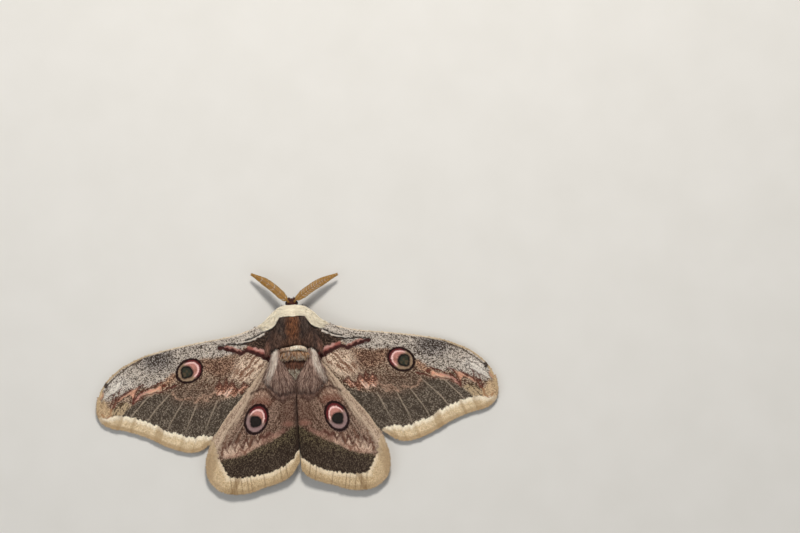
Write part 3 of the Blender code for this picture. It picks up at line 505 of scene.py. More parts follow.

# %% [markdown]
# ## The hindwing's markings
# The hindwing is browner, paler along its front, and soft with hair near the body. Its border
# carries painted shade in its folds and towards its outer edge, and painted shade darkens the middle
# where the two hindwings meet. The same canvas and helpers serve, with other places.

# %% Outlines and veins of the hindwing
HINDWING_OUTLINE = [
    (5.0, -3.6), (11.4, -11.0), (17.5, -18.6), (22.8, -24.9), (26.7, -30.9), (28.6, -36.0),
    (29.3, -39.0), (29.3, -42.5), (28.2, -45.6), (25.3, -48.3), (21.0, -49.4), (16.2, -49.1),
    (11.5, -47.6), (7.4, -46.4), (3.5, -44.6), (1.6, -42.5), (0.5, -40.6), (-0.9, -38.4),
    (-0.9, -27.0), (-0.4, -17.5), (2.2, -13.0), (5.0, -6.4)]
HINDWING_VEINS = {
    "subcosta": [(6.4, -6.6), (14.6, -18.0), (22.4, -28.6), (27.8, -37.6)],
    "radius": [(5.8, -8.0), (11.0, -16.4), (14.2, -22.0), (20.6, -32.0), (26.6, -44.2)],
    "media_1": [(14.2, -22.0), (18.0, -34.0), (22.4, -47.6)],
    "media_2": [(13.6, -25.6), (15.8, -36.5), (18.5, -48.2)],
    "media_3": [(11.6, -29.2), (13.4, -38.5), (14.9, -47.8)],
    "cell_end": [(14.2, -22.0), (13.6, -25.6), (11.6, -29.2)],
    "cubitus": [(4.8, -10.4), (7.2, -19.0), (9.2, -25.0), (11.6, -29.2)],
    "cubitus_1": [(9.2, -25.0), (10.4, -36.0), (10.9, -46.4)],
    "cubitus_2": [(7.2, -19.0), (7.6, -33.0), (6.9, -45.0)],
    "anal": [(4.4, -12.0), (3.4, -24.0), (3.5, -43.2)],
}


# %% Ground, root and the arc between them
def paint_hind_ground(canvas):
    """Grey brown, paler in long streaks towards the front edge."""
    c, s = math.cos(math.radians(-58)), math.sin(math.radians(-58))
    out = canvas.flat_y * c - canvas.flat_x * s
    streak = canvas.streaks(-60, 5.0, 0.32, 23)
    canvas.lay(canvas.speckle(0.02 + 0.75 * streak, screen(156, 128, 110), screen(78, 56, 45), 0.22))
    pale = canvas.speckle(0.25 + 0.75 * streak, screen(197, 173, 150), screen(134, 109, 90), 0.3)
    canvas.lay(pale, turn_on(out, 1.0, 4.2))
    for vein in ("subcosta", "radius"):
        gap, _ = gap_to(canvas.flat_x, canvas.flat_y, HINDWING_VEINS[vein])
        canvas.lay(screen(216, 194, 170), 0.45 * turn_off(gap, 0.06, 0.3) * turn_on(canvas.dust, 0.2, 0.7))
    canvas.line([(9, -8), (13, -15), (17, -22), (21, -28)], 0.4, screen(200, 176, 150),
                0.5 * turn_on(streak, 0.2, 0.8), 0.8)


def paint_hind_root(canvas):
    """Hair-coloured root, the dark arc round it and the warm patches outside."""
    streak = canvas.streaks(-72, 5.0, 0.35, 24)
    root = canvas.field([(-2, -4), (7, -4), (9.4, -10), (9.6, -14.5), (7.6, -17), (6.4, -19), (4, -20),
                         (1, -18.5), (-2, -18)], 0.8)
    canvas.lay(canvas.speckle(0.1 + 0.5 * streak, screen(140, 112, 100), screen(98, 74, 64), 0.4), root)
    lash = canvas.speckle(canvas.streaks(-70, 2.0, 0.4, 26), screen(190, 158, 136), screen(126, 94, 78), 0.2)
    canvas.lay(lash, 0.8 * canvas.oval((10.9, -17.9), (2.6, 1.7), 0.5))
    canvas.line([(-1, -18.6), (1.6, -19.0), (4.2, -19.9), (6.6, -19.2), (8.2, -17.4), (9.6, -16.1),
                 (11.2, -15.8), (13.4, -16.6), (14.6, -17.6)], 0.4, screen(64, 42, 35),
                0.55 + 0.35 * turn_on(canvas.x, 5.0, 8.0), 0.55, 0.6)
    canvas.lay(screen(132, 84, 68), 0.5 * canvas.oval((11.4, -20.2), (3.4, 1.4), 0.6))
    canvas.lay(screen(96, 66, 55),
               0.4 * canvas.field([(-2, -19), (4.5, -21), (5, -26), (3, -28), (-2, -27)], 1.2))
    canvas.lay(screen(160, 112, 96), 0.5 * canvas.oval((2.8, -27.4), (1.9, 0.9), 0.6))
    canvas.line([(4.5, -29.6), (7, -31.2), (9.4, -30.6), (11.5, -32.4), (13.4, -33.4)], 0.6,
                screen(152, 110, 96), 0.5, 0.7)


# %% The toothed line, the dark field and the border of the hindwing
def paint_hind_teeth(canvas):
    """A long and a short dark zigzag, three thin lines in from it, and rosy scallops outside."""
    scallops = canvas.speckle(0.7, screen(222, 194, 170), screen(158, 124, 104), 0.3)
    canvas.line([(13.4, -33.4), (17, -34.7), (20.5, -35.4), (23.4, -36.0)], 1.5, scallops,
                0.45 + 0.5 * turn_on(lumps(canvas.flat_x / 1.15, 0 * canvas.x, 43), 0.35, 0.65), 1.0)
    canvas.line([(6.6, -31.2), (9.4, -32.6), (12.2, -33.6), (15, -35.4), (19, -37.0), (23, -37.6)], 0.45,
                canvas.speckle(0.5, screen(202, 160, 138), screen(140, 102, 84), 0.3), 0.45, 0.8)
    patchy = 0.65 + 0.35 * turn_on(lumps(canvas.flat_x * 0.8, canvas.flat_y * 0.8, 47), 0.3, 0.6)
    for zigzag, half_width, dark in (
            ([(9.0, -30.2), (10.6, -31.8), (11.4, -30.6), (12.8, -33.2), (14.0, -31.4), (15.6, -34.6),
              (16.4, -32.0), (17.8, -34.9), (19.4, -32.3), (20.4, -35.6), (21.6, -32.6), (22.9, -35.6),
              (23.8, -33.0), (24.6, -36.8)], 0.3, screen(86, 54, 44)),
            ([(15.0, -36.0), (16.2, -34.8), (17.2, -36.6), (18.8, -35.0), (19.8, -37.0)], 0.2,
             screen(120, 82, 66)),
            ([(15.6, -34.6), (14.8, -31.0)], 0.18, screen(112, 80, 64)),
            ([(20.4, -35.6), (18.4, -30.4)], 0.18, screen(112, 80, 64)),
            ([(24.6, -36.8), (22.6, -30.6)], 0.18, screen(112, 80, 64))):
        canvas.line(zigzag, half_width, dark, 0.95 * patchy, 0.35)


HIND_DARK = [(-3, -28.4), (1, -28.2), (4, -30.6), (8, -32.8), (11, -34.0), (14, -35.3), (17, -37.0),
             (20, -37.9), (23, -38.3), (24.8, -38.6), (26.0, -40), (26.6, -46), (10, -48), (-3, -42)]


def paint_hind_dark(canvas):
    """Black brown, with olive scales in its upper part and painted shade where the two hindwings meet."""
    olive = turn_on(canvas.y + 0.28 * canvas.x, -36.5, -30.0)
    light = mix_colours(screen(104, 90, 76), screen(120, 106, 80), olive)
    canvas.lay(canvas.speckle(0.2 + 0.18 * olive, light, screen(52, 40, 31), 0.2),
               canvas.field(HIND_DARK, 0.5))
    # Painted shade along the middle, where the two hindwings meet.
    seam_shade = turn_off(canvas.flat_x, -0.2, 1.5) * turn_on(-canvas.flat_y, 18, 21)
    seam_shade = seam_shade * turn_off(-canvas.flat_y, 36, 38)
    canvas.lay(screen(44, 30, 24), 0.75 * seam_shade)


HIND_BORDER_X = (-2, 0.2, 1.2, 3, 5, 8, 11, 14, 18, 20, 22.2)
HIND_BORDER_Y = (-34, -36.2, -38.4, -39.9, -41.3, -42.9, -43.7, -44.0, -44.6, -44.4, -44.3)
HIND_SIDE_Y = (-46, -44.3, -42.5, -40.5, -39, -37.5, -35.5, -33, -31)
HIND_SIDE_X = (22.2, 22.8, 23.4, 24.3, 25.3, 25.9, 26.2, 27.2, 27.8)
HIND_FOLDS = (3.4, 5.4, 11.0, 15.4, 16.6, 18.6, 20.4, 22.0)


def paint_hind_border(canvas):
    """Cream with a painted highlight on its inner part, painted shade towards the outer edge, in the folds
    and along a thin line at each fold, browner towards the front edge.
    """
    x, y = canvas.flat_x, canvas.flat_y
    lower = turn_off(y - np.interp(x, HIND_BORDER_X, HIND_BORDER_Y) - ragged(x, 31), -0.12, 0.12)
    side = np.interp(y, HIND_SIDE_Y, HIND_SIDE_X) + ragged(y, 33)
    band = np.maximum(lower, turn_on(x - side, -0.15, 0.15) * turn_off(y, -33.5, -31))
    rim, _ = gap_to(x, y, HINDWING_OUTLINE[4:18])
    canvas.lay(canvas.speckle(0.6, screen(218, 194, 156), screen(178, 150, 112), 0.4), band)
    inside = np.minimum(y - np.interp(x, HIND_BORDER_X, HIND_BORDER_Y), side - x)
    # Painted highlight on the inner part of the border.
    canvas.lay(screen(246, 230, 202), 0.65 * band * turn_on(inside, -1.9, -0.4))
    # Painted shade towards the outer edge.
    canvas.lay(screen(150, 122, 86), 0.55 * band * turn_off(rim, 0.2, 1.6))
    # Painted shade in the folds, on the same lumps as the folds of the relief.
    pleat_shade = lumps((x + 0.4 * y) / 1.5, 0 * x, 14)
    canvas.lay(screen(140, 112, 78), 0.65 * band * turn_on(pleat_shade, 0.5, 0.85))
    canvas.lay(screen(204, 178, 144), 0.35 * band * turn_on(x, 23.5, 26))
    # Painted shade along a thin line at each fold.
    for fold in HIND_FOLDS:
        crease_shade = turn_off(np.abs(x - fold - 0.12 * (y + 46)), 0.05, 0.3)
        canvas.lay(screen(120, 92, 62), 0.5 * band * crease_shade)
    front, _ = gap_to(x, y, HINDWING_OUTLINE[0:6])
    canvas.lay(screen(196, 172, 144), 0.55 * turn_off(front, 0.2, 0.6))
    canvas.lay(screen(214, 198, 176), 0.85 * canvas.oval((7.4, -7.4), (1.3, 2.6), 0.6))


def hindwing_paint(x, y, dust):
    """The colour of the hindwing's upper side at places in mm."""
    canvas = Canvas(x, y, dust, 21)
    for layer in (paint_hind_ground, paint_hind_root, paint_hind_teeth, paint_hind_dark, paint_hind_border):
        layer(canvas)
    paint_eyespot(canvas, (13.0, -25.7), (5.3, 3.8), -66, (13.3, -26.4), 1.9, 122, screen(42, 36, 32))
    return canvas.colour


sample = hindwing_paint(np.array([13.2, 15.0]), np.array([-26.3, -47.0]), np.array([0.5, 0.5]))
print("hindwing pupil", np.round(sample[0], 3), "border", np.round(sample[1], 3))

# %% [markdown]
# ## The undersides
# The underside is hardly seen, since the moth lies on it, but a museum model is turned over. There
# the real wings repeat the markings in paler, greyer scales, so the same paint is used, mixed
# with grey.

# %% A paler paint for below
def underside(paint):
    """The same markings, greyer and paler."""
    def paler(x, y, dust):
        return 0.62 * paint(x, y, dust) + 0.38 * screen(178, 164, 148)
    return paler


# %% [markdown]
# ## Finishes
# Every finish here is soft and dry but for the eyes, the legs and the horn of the antennae, which
# shine a little. Each mesh stores its paint in an attribute called tint. The material reads it and
# adds what paint can't: small changes of shade, a fine grain in the relief, and how rough the
# surface is. One function makes them all, so that they differ only in their numbers.

# %% One function for the finishes
def finish(name, roughness, grain, relief, mottle=0.12, sheen=0.0, specular=0.3, coat=0.0):
    """A material that takes its colour from the tint, with grain features to the millimetre."""
    material = bpy.data.materials.new(name)
    material.use_nodes = True
    nodes, links = material.node_tree.nodes, material.node_tree.links
    shader = nodes["Principled BSDF"]
    shader.inputs["Specular IOR Level"].default_value = specular
    shader.inputs["Sheen Weight"].default_value = sheen
    shader.inputs["Sheen Roughness"].default_value = 0.5
    shader.inputs["Coat Weight"].default_value = coat
    shader.inputs["Coat Roughness"].default_value = 0.08
    place = nodes.new("ShaderNodeTexCoord")
    paint = nodes.new("ShaderNodeAttribute")
    paint.attribute_name = "tint"
    noise = nodes.new("ShaderNodeTexNoise")
    noise.inputs["Scale"].default_value = grain / MM
    noise.inputs["Detail"].default_value = 3.0
    links.new(place.outputs["Object"], noise.inputs["Vector"])
    shade = nodes.new("ShaderNodeMapRange")
    shade.inputs["From Min"].default_value = 0.3
    shade.inputs["From Max"].default_value = 0.7
    shade.inputs["To Min"].default_value = 1 - mottle
    shade.inputs["To Max"].default_value = 1 + mottle
    links.new(noise.outputs["Fac"], shade.inputs["Value"])
    mixed = nodes.new("ShaderNodeVectorMath")
    mixed.operation = "SCALE"
    links.new(paint.outputs["Color"], mixed.inputs[0])
    links.new(shade.outputs["Result"], mixed.inputs["Scale"])
    links.new(mixed.outputs["Vector"], shader.inputs["Base Color"])
    rough = nodes.new("ShaderNodeMapRange")
    rough.inputs["To Min"].default_value = max(0.02, roughness - 0.07)
    rough.inputs["To Max"].default_value = roughness + 0.07
    links.new(noise.outputs["Fac"], rough.inputs["Value"])
    links.new(rough.outputs["Result"], shader.inputs["Roughness"])
    bump = nodes.new("ShaderNodeBump")
    bump.inputs["Distance"].default_value = relief * MM
    links.new(noise.outputs["Fac"], bump.inputs["Height"])
    links.new(bump.outputs["Normal"], shader.inputs["Normal"])
    return material


MEMBRANE = finish("wing membrane", 0.62, 3.0, 0.06)
SCALES = finish("wing scales", 0.62, 5.0, 0.01, mottle=0.10, specular=0.15)
HAIR = finish("body hair", 0.66, 4.0, 0.02, mottle=0.12, sheen=0.04, specular=0.2)
SKIN = finish("skin under the hair", 0.80, 3.0, 0.08, mottle=0.20)
HORN = finish("antenna horn", 0.45, 6.0, 0.02, mottle=0.14, specular=0.4)
SHELL = finish("leg shell", 0.42, 5.0, 0.03, mottle=0.15, specular=0.45)
EYE_GLASS = finish("eye facets", 0.26, 4.0, 0.01, mottle=0.20, specular=0.35, coat=0.08)
print("finishes:", ", ".join(m.name for m in bpy.data.materials if m.use_nodes and m.users == 0))

# %% [markdown]
# ## From arrays to an object
# A coat has tens of thousands of pieces. Adding them one by one in Edit Mode or as objects would
# take hours, and hair strands are lost when a model is exported. Whole arrays of corners and
# triangles can be handed to Blender in one go, which takes well under a second. Each small piece
# also gets its own patch on a map called OFBake, round the place where it grows.

# %% Meshes from arrays
PATCH = 0.0015
GROUND = 0.01


def outward(points, faces):
    """The same triangles, wound so that they face out of the shape."""
    a, b, c = (points[faces[:, i]] for i in range(3))
    return faces if np.einsum("ij,ij->", a, np.cross(b, c)) > 0 else faces[:, ::-1]


def inset(share):
    """A share from 0 to 1 of the way over a map, kept off its very edge."""
    return 0.01 + 0.98 * share


def patch_map(places, corners):
    """A small round patch of the map for each piece with so many corners."""
    angle = 2 * math.pi * np.arange(corners) / corners
    ring = PATCH * np.stack([np.cos(angle), np.sin(angle)], axis=1)
    return (places[:, None, :] + ring[None]).reshape(-1, 2)


def join(parts):
    """Several sets of corners, triangles, tints and map places as one."""
    start = np.cumsum([0] + [len(part[0]) for part in parts[:-1]])
    faces = np.concatenate([part[1] + offset for part, offset in zip(parts, start)])
    return (np.concatenate([part[0] for part in parts]), faces,
            np.concatenate([part[2] for part in parts]), np.concatenate([part[3] for part in parts]))


def make_piece(name, shape, material, smooth=False, corner_map=None):
    """An object from one set of arrays, which rides on the body and has its finish."""
    points, faces, tint, places = shape
    points = np.maximum(points, (-np.inf, -np.inf, GROUND))
    mesh = bpy.data.meshes.new(name)
    mesh.vertices.add(len(points))
    mesh.vertices.foreach_set("co", to_metres(points).astype(np.float32).ravel())
    mesh.loops.add(faces.size)
    mesh.loops.foreach_set("vertex_index", faces.astype(np.int32).ravel())
    mesh.polygons.add(len(faces))
    mesh.polygons.foreach_set("loop_start", np.arange(0, faces.size, 3, dtype=np.int32))
    mesh.update(calc_edges=True)
    colour = mesh.attributes.new("tint", "FLOAT_COLOR", "POINT")
    colour.data.foreach_set("color", np.column_stack([np.clip(tint, 0, 1), np.ones(len(tint))]).ravel())
    corners = places[faces] if corner_map is None else corner_map
    mesh.uv_layers.new(name="OFBake").uv.foreach_set("vector", corners.astype(np.float32).ravel())
    if smooth:
        mesh.shade_smooth()
    else:
        mesh.shade_flat()
    mesh.materials.append(material)
    piece = bpy.data.objects.new(name, mesh)
    bpy.context.scene.collection.objects.link(piece)
    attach(piece, "root")
    print(f"{name}: {len(faces)} triangles")
    return piece


# %% [markdown]
# ## How the wings lie
# The wings leave the thorax high up and sink towards their tips, and each hindwing lies over the
# rear of its forewing and rises over the abdomen. The height is one formula of the place. A second
# one adds relief: a ridge on each vein, a slight sag between veins and soft folds in the border.

# %% The height of the wings
HINGE = (5.6, 0.0)
TIP_HEIGHT = 1.5
HINGE_RISE = 5.4
RISE_LENGTH = 14.0
WING_CLEARANCE = 1.1
ROOF_RISE = 5.3
ROOF_HALF_WIDTH = 6.0


def forewing_height(x, y):
    """Middle of the forewing above the ground."""
    return TIP_HEIGHT + HINGE_RISE * np.exp(-np.hypot(x - HINGE[0], y - HINGE[1]) / RISE_LENGTH)


def hindwing_height(x, y):
    """The hindwing lies over the forewing and roofs over the abdomen."""
    front = turn_off(y, -13, -5)
    rear = 0.25 + 0.75 * turn_on(y, -40, -27)
    roof = ROOF_RISE * front * rear * np.exp(-(x / ROOF_HALF_WIDTH) ** 2)
    return forewing_height(x, y) + WING_CLEARANCE + roof


fore_low, fore_high = node_box("forewing_right")
print("forewing solid from z", round(fore_low[2], 2), "to", round(fore_high[2], 2),
      "and by formula at its tip", round(float(forewing_height(64.0, -18.0)), 2))

# %% [markdown]
# ## The body's shape
# The body is needed before the wings, because their roots vanish into it. It is described by
# a few cross-sections along its length, as a boat builder would: half width, keel and deck. The
# skin lies inside this shape by the depth of the hair, so that hair and skin together have
# the real outline.

# %% Sections of the body, its skin and the head
BODY_STATIONS = np.array([
    (-31.0, 0.9, 0.3, 2.6), (-30.0, 2.2, -0.1, 4.0), (-27.0, 3.6, -0.3, 5.9), (-22.0, 4.3, -0.2, 7.2),
    (-16.0, 4.5, 0.2, 7.7), (-10.0, 4.3, 0.8, 7.9), (-6.6, 4.1, 1.4, 8.3), (-4.0, 4.8, 1.5, 9.6),
    (0.0, 5.2, 1.5, 10.6), (4.0, 5.2, 1.7, 10.5), (7.4, 5.0, 2.2, 9.6), (9.2, 4.1, 2.6, 8.4),
    (10.4, 2.6, 3.2, 7.4), (11.4, 0.3, 4.9, 5.1)])
COAT_DEPTH_Y = (-31, -27, -8, -6, 5, 8, 10.4)
COAT_DEPTH = (0.3, 0.7, 0.7, 1.3, 1.3, 1.0, 0.3)
HEAD_CENTRE = np.array((0.0, 10.9, 5.0))
HEAD_RADIUS = 1.45


def body_section(y):
    """Half width, lowest and highest point of the hairy body at places along it."""
    return [np.interp(y, BODY_STATIONS[:, 0], BODY_STATIONS[:, i]) for i in (1, 2, 3)]


def skin_section(y):
    """The same for the skin, with the round head at its front."""
    half, low, high = body_section(y)
    depth = np.interp(y, COAT_DEPTH_Y, COAT_DEPTH)
    head = HEAD_RADIUS * np.sqrt(np.clip(1 - ((y - HEAD_CENTRE[1]) / HEAD_RADIUS) ** 2, 0, 1))
    half = np.maximum(np.maximum(half - depth, 0.05), head)
    high = np.maximum(high - depth, HEAD_CENTRE[2] + head)
    low = np.minimum(np.maximum(low + 0.5 * depth, 0.15), np.where(head > 0, HEAD_CENTRE[2] - head, 99))
    return half, low, high


def skin_point(y, angle):
    """A place on the skin and its outward direction. The angle runs from the right side upwards."""
    half, low, high = skin_section(y)
    c, s = np.cos(angle), np.sin(angle)
    tall = np.maximum((high - low) / 2, 0.05)
    point = np.stack([half * c, y + 0 * angle, (low + high) / 2 + tall * s], axis=-1)
    normal = np.stack([c / half, 0 * angle, s / tall], axis=-1)
    return point, normal / np.linalg.norm(normal, axis=-1)[..., None]


print("skin half width at the shoulders", round(float(skin_section(2.0)[0]), 2), "mm")

# %% [markdown]
# ## Wing membranes
# A wing could be a plane with a cut-out picture. Here the outline is filled with an even mesh
# of small triangles by Blender's own triangulation, so that each corner can carry paint and
# height. Two such layers, a sixth of a millimetre apart and joined round the edge, make a
# closed sheet.

# %% A wing, from flat pattern to its place
MEMBRANE_THICKNESS = 0.16
MEMBRANE_STEP = 0.34
ROW_SHARE = 0.866
EDGE_STEP = 0.4
ROOT_SINK = 1.2
VEIN_RIDGE = (0.13, 0.3)
SAG = (0.16, 2.2)
FOLD_RELIEF = 0.35
HINDWING_HINGE = np.array((5.0, -5.0))
SEAM = 0.12


class Wing:
    """One wing: its flat pattern and the way to its real place."""

    def __init__(self, kind, side, outline, veins, height, paint, turn=0.0):
        self.name, self.side = f"{kind}_{side}", side
        self.outline, self.veins, self.height, self.paint = outline, veins, height, paint
        self.turn = math.radians(turn)
        edge = smooth_line(outline, EDGE_STEP)
        rows = np.linspace(outline[-1][1], outline[0][1], 9)
        root = np.stack([body_section(rows)[0] - ROOT_SINK, rows], axis=1)
        self.edge = np.vstack([edge[1:-1], root])
        self.low, self.high = self.edge.min(axis=0), self.edge.max(axis=0)

    def relief(self, x, y):
        """Ridges on the veins, sagging between them and folds near the margin."""
        gap = np.min([gap_to(x, y, vein)[0] for vein in self.veins.values()], axis=0)
        ridge = VEIN_RIDGE[0] * np.exp(-(gap / VEIN_RIDGE[1]) ** 2)
        sag = SAG[0] * (1 - np.exp(-(gap / SAG[1]) ** 2))
        rim, _ = gap_to(x, y, self.outline[4:-3])
        folds = lumps((x + 0.4 * y) / 1.5, 0 * x, 14) - 0.5
        return ridge - sag + FOLD_RELIEF * folds * turn_off(rim, 1.5, 4.5)

    def settle(self, x, y, above):
        """Places of the flat pattern, turned about the hinge, raised and set on their own side."""
        c, s = math.cos(self.turn), math.sin(self.turn)
        dx, dy = x - HINDWING_HINGE[0], y - HINDWING_HINGE[1]
        turned_x, turned_y = HINDWING_HINGE[0] + dx * c - dy * s, HINDWING_HINGE[1] + dx * s + dy * c
        turned_x = np.maximum(turned_x, SEAM)
        z = self.height(turned_x, turned_y) + self.relief(x, y) + above
        return np.stack([turned_x if self.side == "right" else -turned_x, turned_y, z], axis=-1)

    def on_map(self, x, y, below=False):
        """Place on the wing's map: the upper side fills its left half, the underside its right."""
        u = (x - self.low[0]) / (self.high[0] - self.low[0])
        v = (y - self.low[1]) / (self.high[1] - self.low[1])
        return np.stack([0.01 + 0.48 * u + 0.5 * below, inset(v)], axis=-1)

    def grid(self, step, margin):
        """Evenly spread places inside the outline."""
        rows = np.arange(self.low[1], self.high[1], step * ROW_SHARE)
        columns = np.arange(self.low[0], self.high[0], step)
        x, y = np.meshgrid(columns, rows)
        x = x + step / 2 * (np.arange(len(rows)) % 2)[:, None]
        x, y = x.ravel(), y.ravel()
        keep = within(x, y, self.edge)
        x, y = x[keep], y[keep]
        keep = gap_to(x, y, [*self.edge, self.edge[0]])[0] > margin
        return x[keep], y[keep]


# %% The closed sheet of one wing
def wing_sheet(wing):
    """Upper and lower layer of small triangles, joined round the edge."""
    x, y = wing.grid(MEMBRANE_STEP, 0.5 * MEMBRANE_STEP)
    flat = [Vector(p) for p in [*wing.edge, *zip(x, y)]]
    made = delaunay_2d_cdt(flat, [], [list(range(len(wing.edge)))], 1, 1e-4)
    spots = np.array([(p.x, p.y) for p in made[0]])
    top = np.array([face for face in made[2] if len(face) == 3])
    x, y = spots[:, 0], spots[:, 1]
    points = np.concatenate([wing.settle(x, y, MEMBRANE_THICKNESS / 2),
                             wing.settle(x, y, -MEMBRANE_THICKNESS / 2)])
    count = len(spots)
    ways = np.concatenate([top[:, (0, 1)], top[:, (1, 2)], top[:, (2, 0)]])
    back = set(map(tuple, ways[:, ::-1]))
    rim = np.array([way for way in ways if tuple(way) not in back])
    a, b = rim[:, 0], rim[:, 1]
    walls = np.concatenate([np.stack([b, a, a + count], 1), np.stack([b, a + count, b + count], 1)])
    faces = np.concatenate([top, top[:, ::-1] + count, walls])
    dust = lumps(x / 0.32, y / 0.32, 41)
    tint = np.concatenate([wing.paint(x, y, dust), underside(wing.paint)(x, y, dust)])
    places = np.concatenate([wing.on_map(x, y), wing.on_map(x, y, below=True)])
    corners = places[faces]
    corners[2 * len(top):] = wing.on_map(x, y)[walls % count]
    if wing.side == "left":
        faces, corners = faces[:, ::-1], corners[:, ::-1]
    return (points, faces, tint, places), corners


wings = {}
for side, outwards in (("left", 1.3), ("right", -1.3)):
    wings[f"forewing_{side}"] = Wing("forewing", side, FOREWING_OUTLINE, FOREWING_VEINS,
                                     forewing_height, forewing_paint)
    wings[f"hindwing_{side}"] = Wing("hindwing", side, HINDWING_OUTLINE, HINDWING_VEINS,
                                     hindwing_height, hindwing_paint, outwards)
for name, wing in wings.items():
    shape, corners = wing_sheet(wing)
    sheet = make_piece(f"{name}_membrane", shape, MEMBRANE, True, corners)
    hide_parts(name)

# %% [markdown]
# ## Scales
# A real scale is about a tenth of a millimetre long, which would make a million of them. These
# are a few times larger, about the grain that shows in a photograph, and overlap in the same
# way: root towards the body, tip lifted and free, and along the front edge turned to follow it.
# Four triangles make a closed kite with a low keel, which catches the light on one half at a time.

# %% Kites laid like slates
SCALE_STEP = 0.245
SCALE_SIZE = (0.52, 0.31)
UNDER_STEP = 0.48
UNDER_SIZE = (0.84, 0.52)
SCALE_TIP_LIFT = (0.05, 0.13)
FRINGE_STEP = 0.11
FRINGE_SIZE = (1.1, 0.3)
FRONT_CORNERS = 10


def kites(wing, x, y, heading, size, lift, tint, below=False):
    """A closed kite of four triangles at each place, pointing along its heading."""
    length, width = size
    along = np.array([0.0, 0.55, 0.55, 1.0]) * length[:, None]
    across = np.array([0.0, 0.5, -0.5, 0.0]) * width[:, None]
    raised = np.array([0.0, 0.0, 0.0, 1.0]) * lift[:, None] - np.array([0.03, 0.0, 0.0, 0.0])
    c, s = np.cos(heading)[:, None], np.sin(heading)[:, None]
    px = x[:, None] + along * c - across * s
    py = y[:, None] + along * s + across * c
    way = -1 if below else 1
    points = wing.settle(px.ravel(), py.ravel(), way * (MEMBRANE_THICKNESS / 2 + 0.02 + raised.ravel()))
    kite = np.array([(0, 3, 1), (0, 2, 3), (0, 1, 2), (1, 3, 2)])
    if below != (wing.side == "left"):
        kite = kite[:, ::-1]
    faces = (kite[None] + 4 * np.arange(len(x))[:, None, None]).reshape(-1, 3)
    places = patch_map(wing.on_map(x, y, below), 4)
    return points, faces, np.repeat(tint, 4, axis=0), places


def cover(wing, step, size, below):
    """Scales over one side of a wing, pointing away from the hinge or along the front edge."""
    x, y = wing.grid(step, 0.05)
    x = x + draw.uniform(-0.3, 0.3, len(x)) * step
    y = y + draw.uniform(-0.3, 0.3, len(x)) * step
    heading = np.arctan2(y + 1.0, x - 3.0)
    front = np.array(wing.outline[:FRONT_CORNERS])
    gap, along = gap_to(x, y, front)
    steps = np.diff(front, axis=0)
    ahead = steps[np.minimum((along * len(steps)).astype(int), len(steps) - 1)]
    heading = heading + (np.arctan2(ahead[:, 1], ahead[:, 0]) - heading) * turn_off(gap, 0.4, 2.4)
    heading = heading + draw.normal(0, 0.14, len(x))
    length = size[0] * draw.uniform(0.8, 1.2, len(x))
    width = size[1] * draw.uniform(0.8, 1.2, len(x))
    lift = draw.uniform(*SCALE_TIP_LIFT, len(x))
    paint = underside(wing.paint) if below else wing.paint
    middle = 0.5 * length
    tint = paint(x + middle * np.cos(heading), y + middle * np.sin(heading), draw.random(len(x)))
    tint = tint * draw.uniform(0.88, 1.12, (len(x), 1))
    return kites(wing, x, y, heading, (length, width), lift, tint, below)


def fringe(wing):
    """Two rows of long scales that stand out round the outer margin."""
    line = smooth_line(wing.outline[9:20] if wing.name[:4] == "fore" else wing.outline[4:18], FRINGE_STEP)
    line = np.concatenate([line, line + draw.uniform(-0.05, 0.05, line.shape)])
    ahead = np.gradient(line, axis=0)
    heading = np.arctan2(ahead[:, 1], ahead[:, 0]) + math.pi / 2
    x, y = line[:, 0], line[:, 1]
    inner = within(x + 0.3 * np.cos(heading), y + 0.3 * np.sin(heading), wing.edge)
    heading = np.where(inner, heading + math.pi, heading)
    root_x, root_y = x - 0.45 * np.cos(heading), y - 0.45 * np.sin(heading)
    tint = wing.paint(root_x, root_y, draw.random(len(x))) * draw.uniform(0.85, 1.1, (len(x), 1))
    heading = heading + draw.normal(0, 0.16, len(x))
    size = (FRINGE_SIZE[0] * draw.uniform(0.75, 1.2, len(x)), FRINGE_SIZE[1] * draw.uniform(0.8, 1.2, len(x)))
    return kites(wing, root_x, root_y, heading, size, draw.uniform(-0.1, 0.16, len(x)), tint)


for name, wing in wings.items():
    coat = join([cover(wing, SCALE_STEP, SCALE_SIZE, False), cover(wing, UNDER_STEP, UNDER_SIZE, True),
                 fringe(wing)])
    make_piece(f"{name}_coat", coat, SCALES)

# %% [markdown]
# ## The skin of the body
# One skin runs from the head to the tip of the abdomen. A turned shape would be round, but this
# body is flatter and changes along its length, so rings follow the sections above. It is dark and
# rough, because it only shows as shadow between hairs.

# %% One skin from head to tail
SKIN_RINGS = 150
SKIN_SIDES = 72
SKIN_ENDS = (-30.6, HEAD_CENTRE[1] + HEAD_RADIUS - 0.02)


def body_map(y, angle):
    """Place on the body's map, cut open along the belly."""
    u = ((angle + math.pi / 2) % (2 * math.pi)) / (2 * math.pi)
    v = (y - SKIN_ENDS[0]) / (SKIN_ENDS[1] - SKIN_ENDS[0])
    return np.stack([inset(u), inset(np.clip(v, 0, 1))], axis=-1)


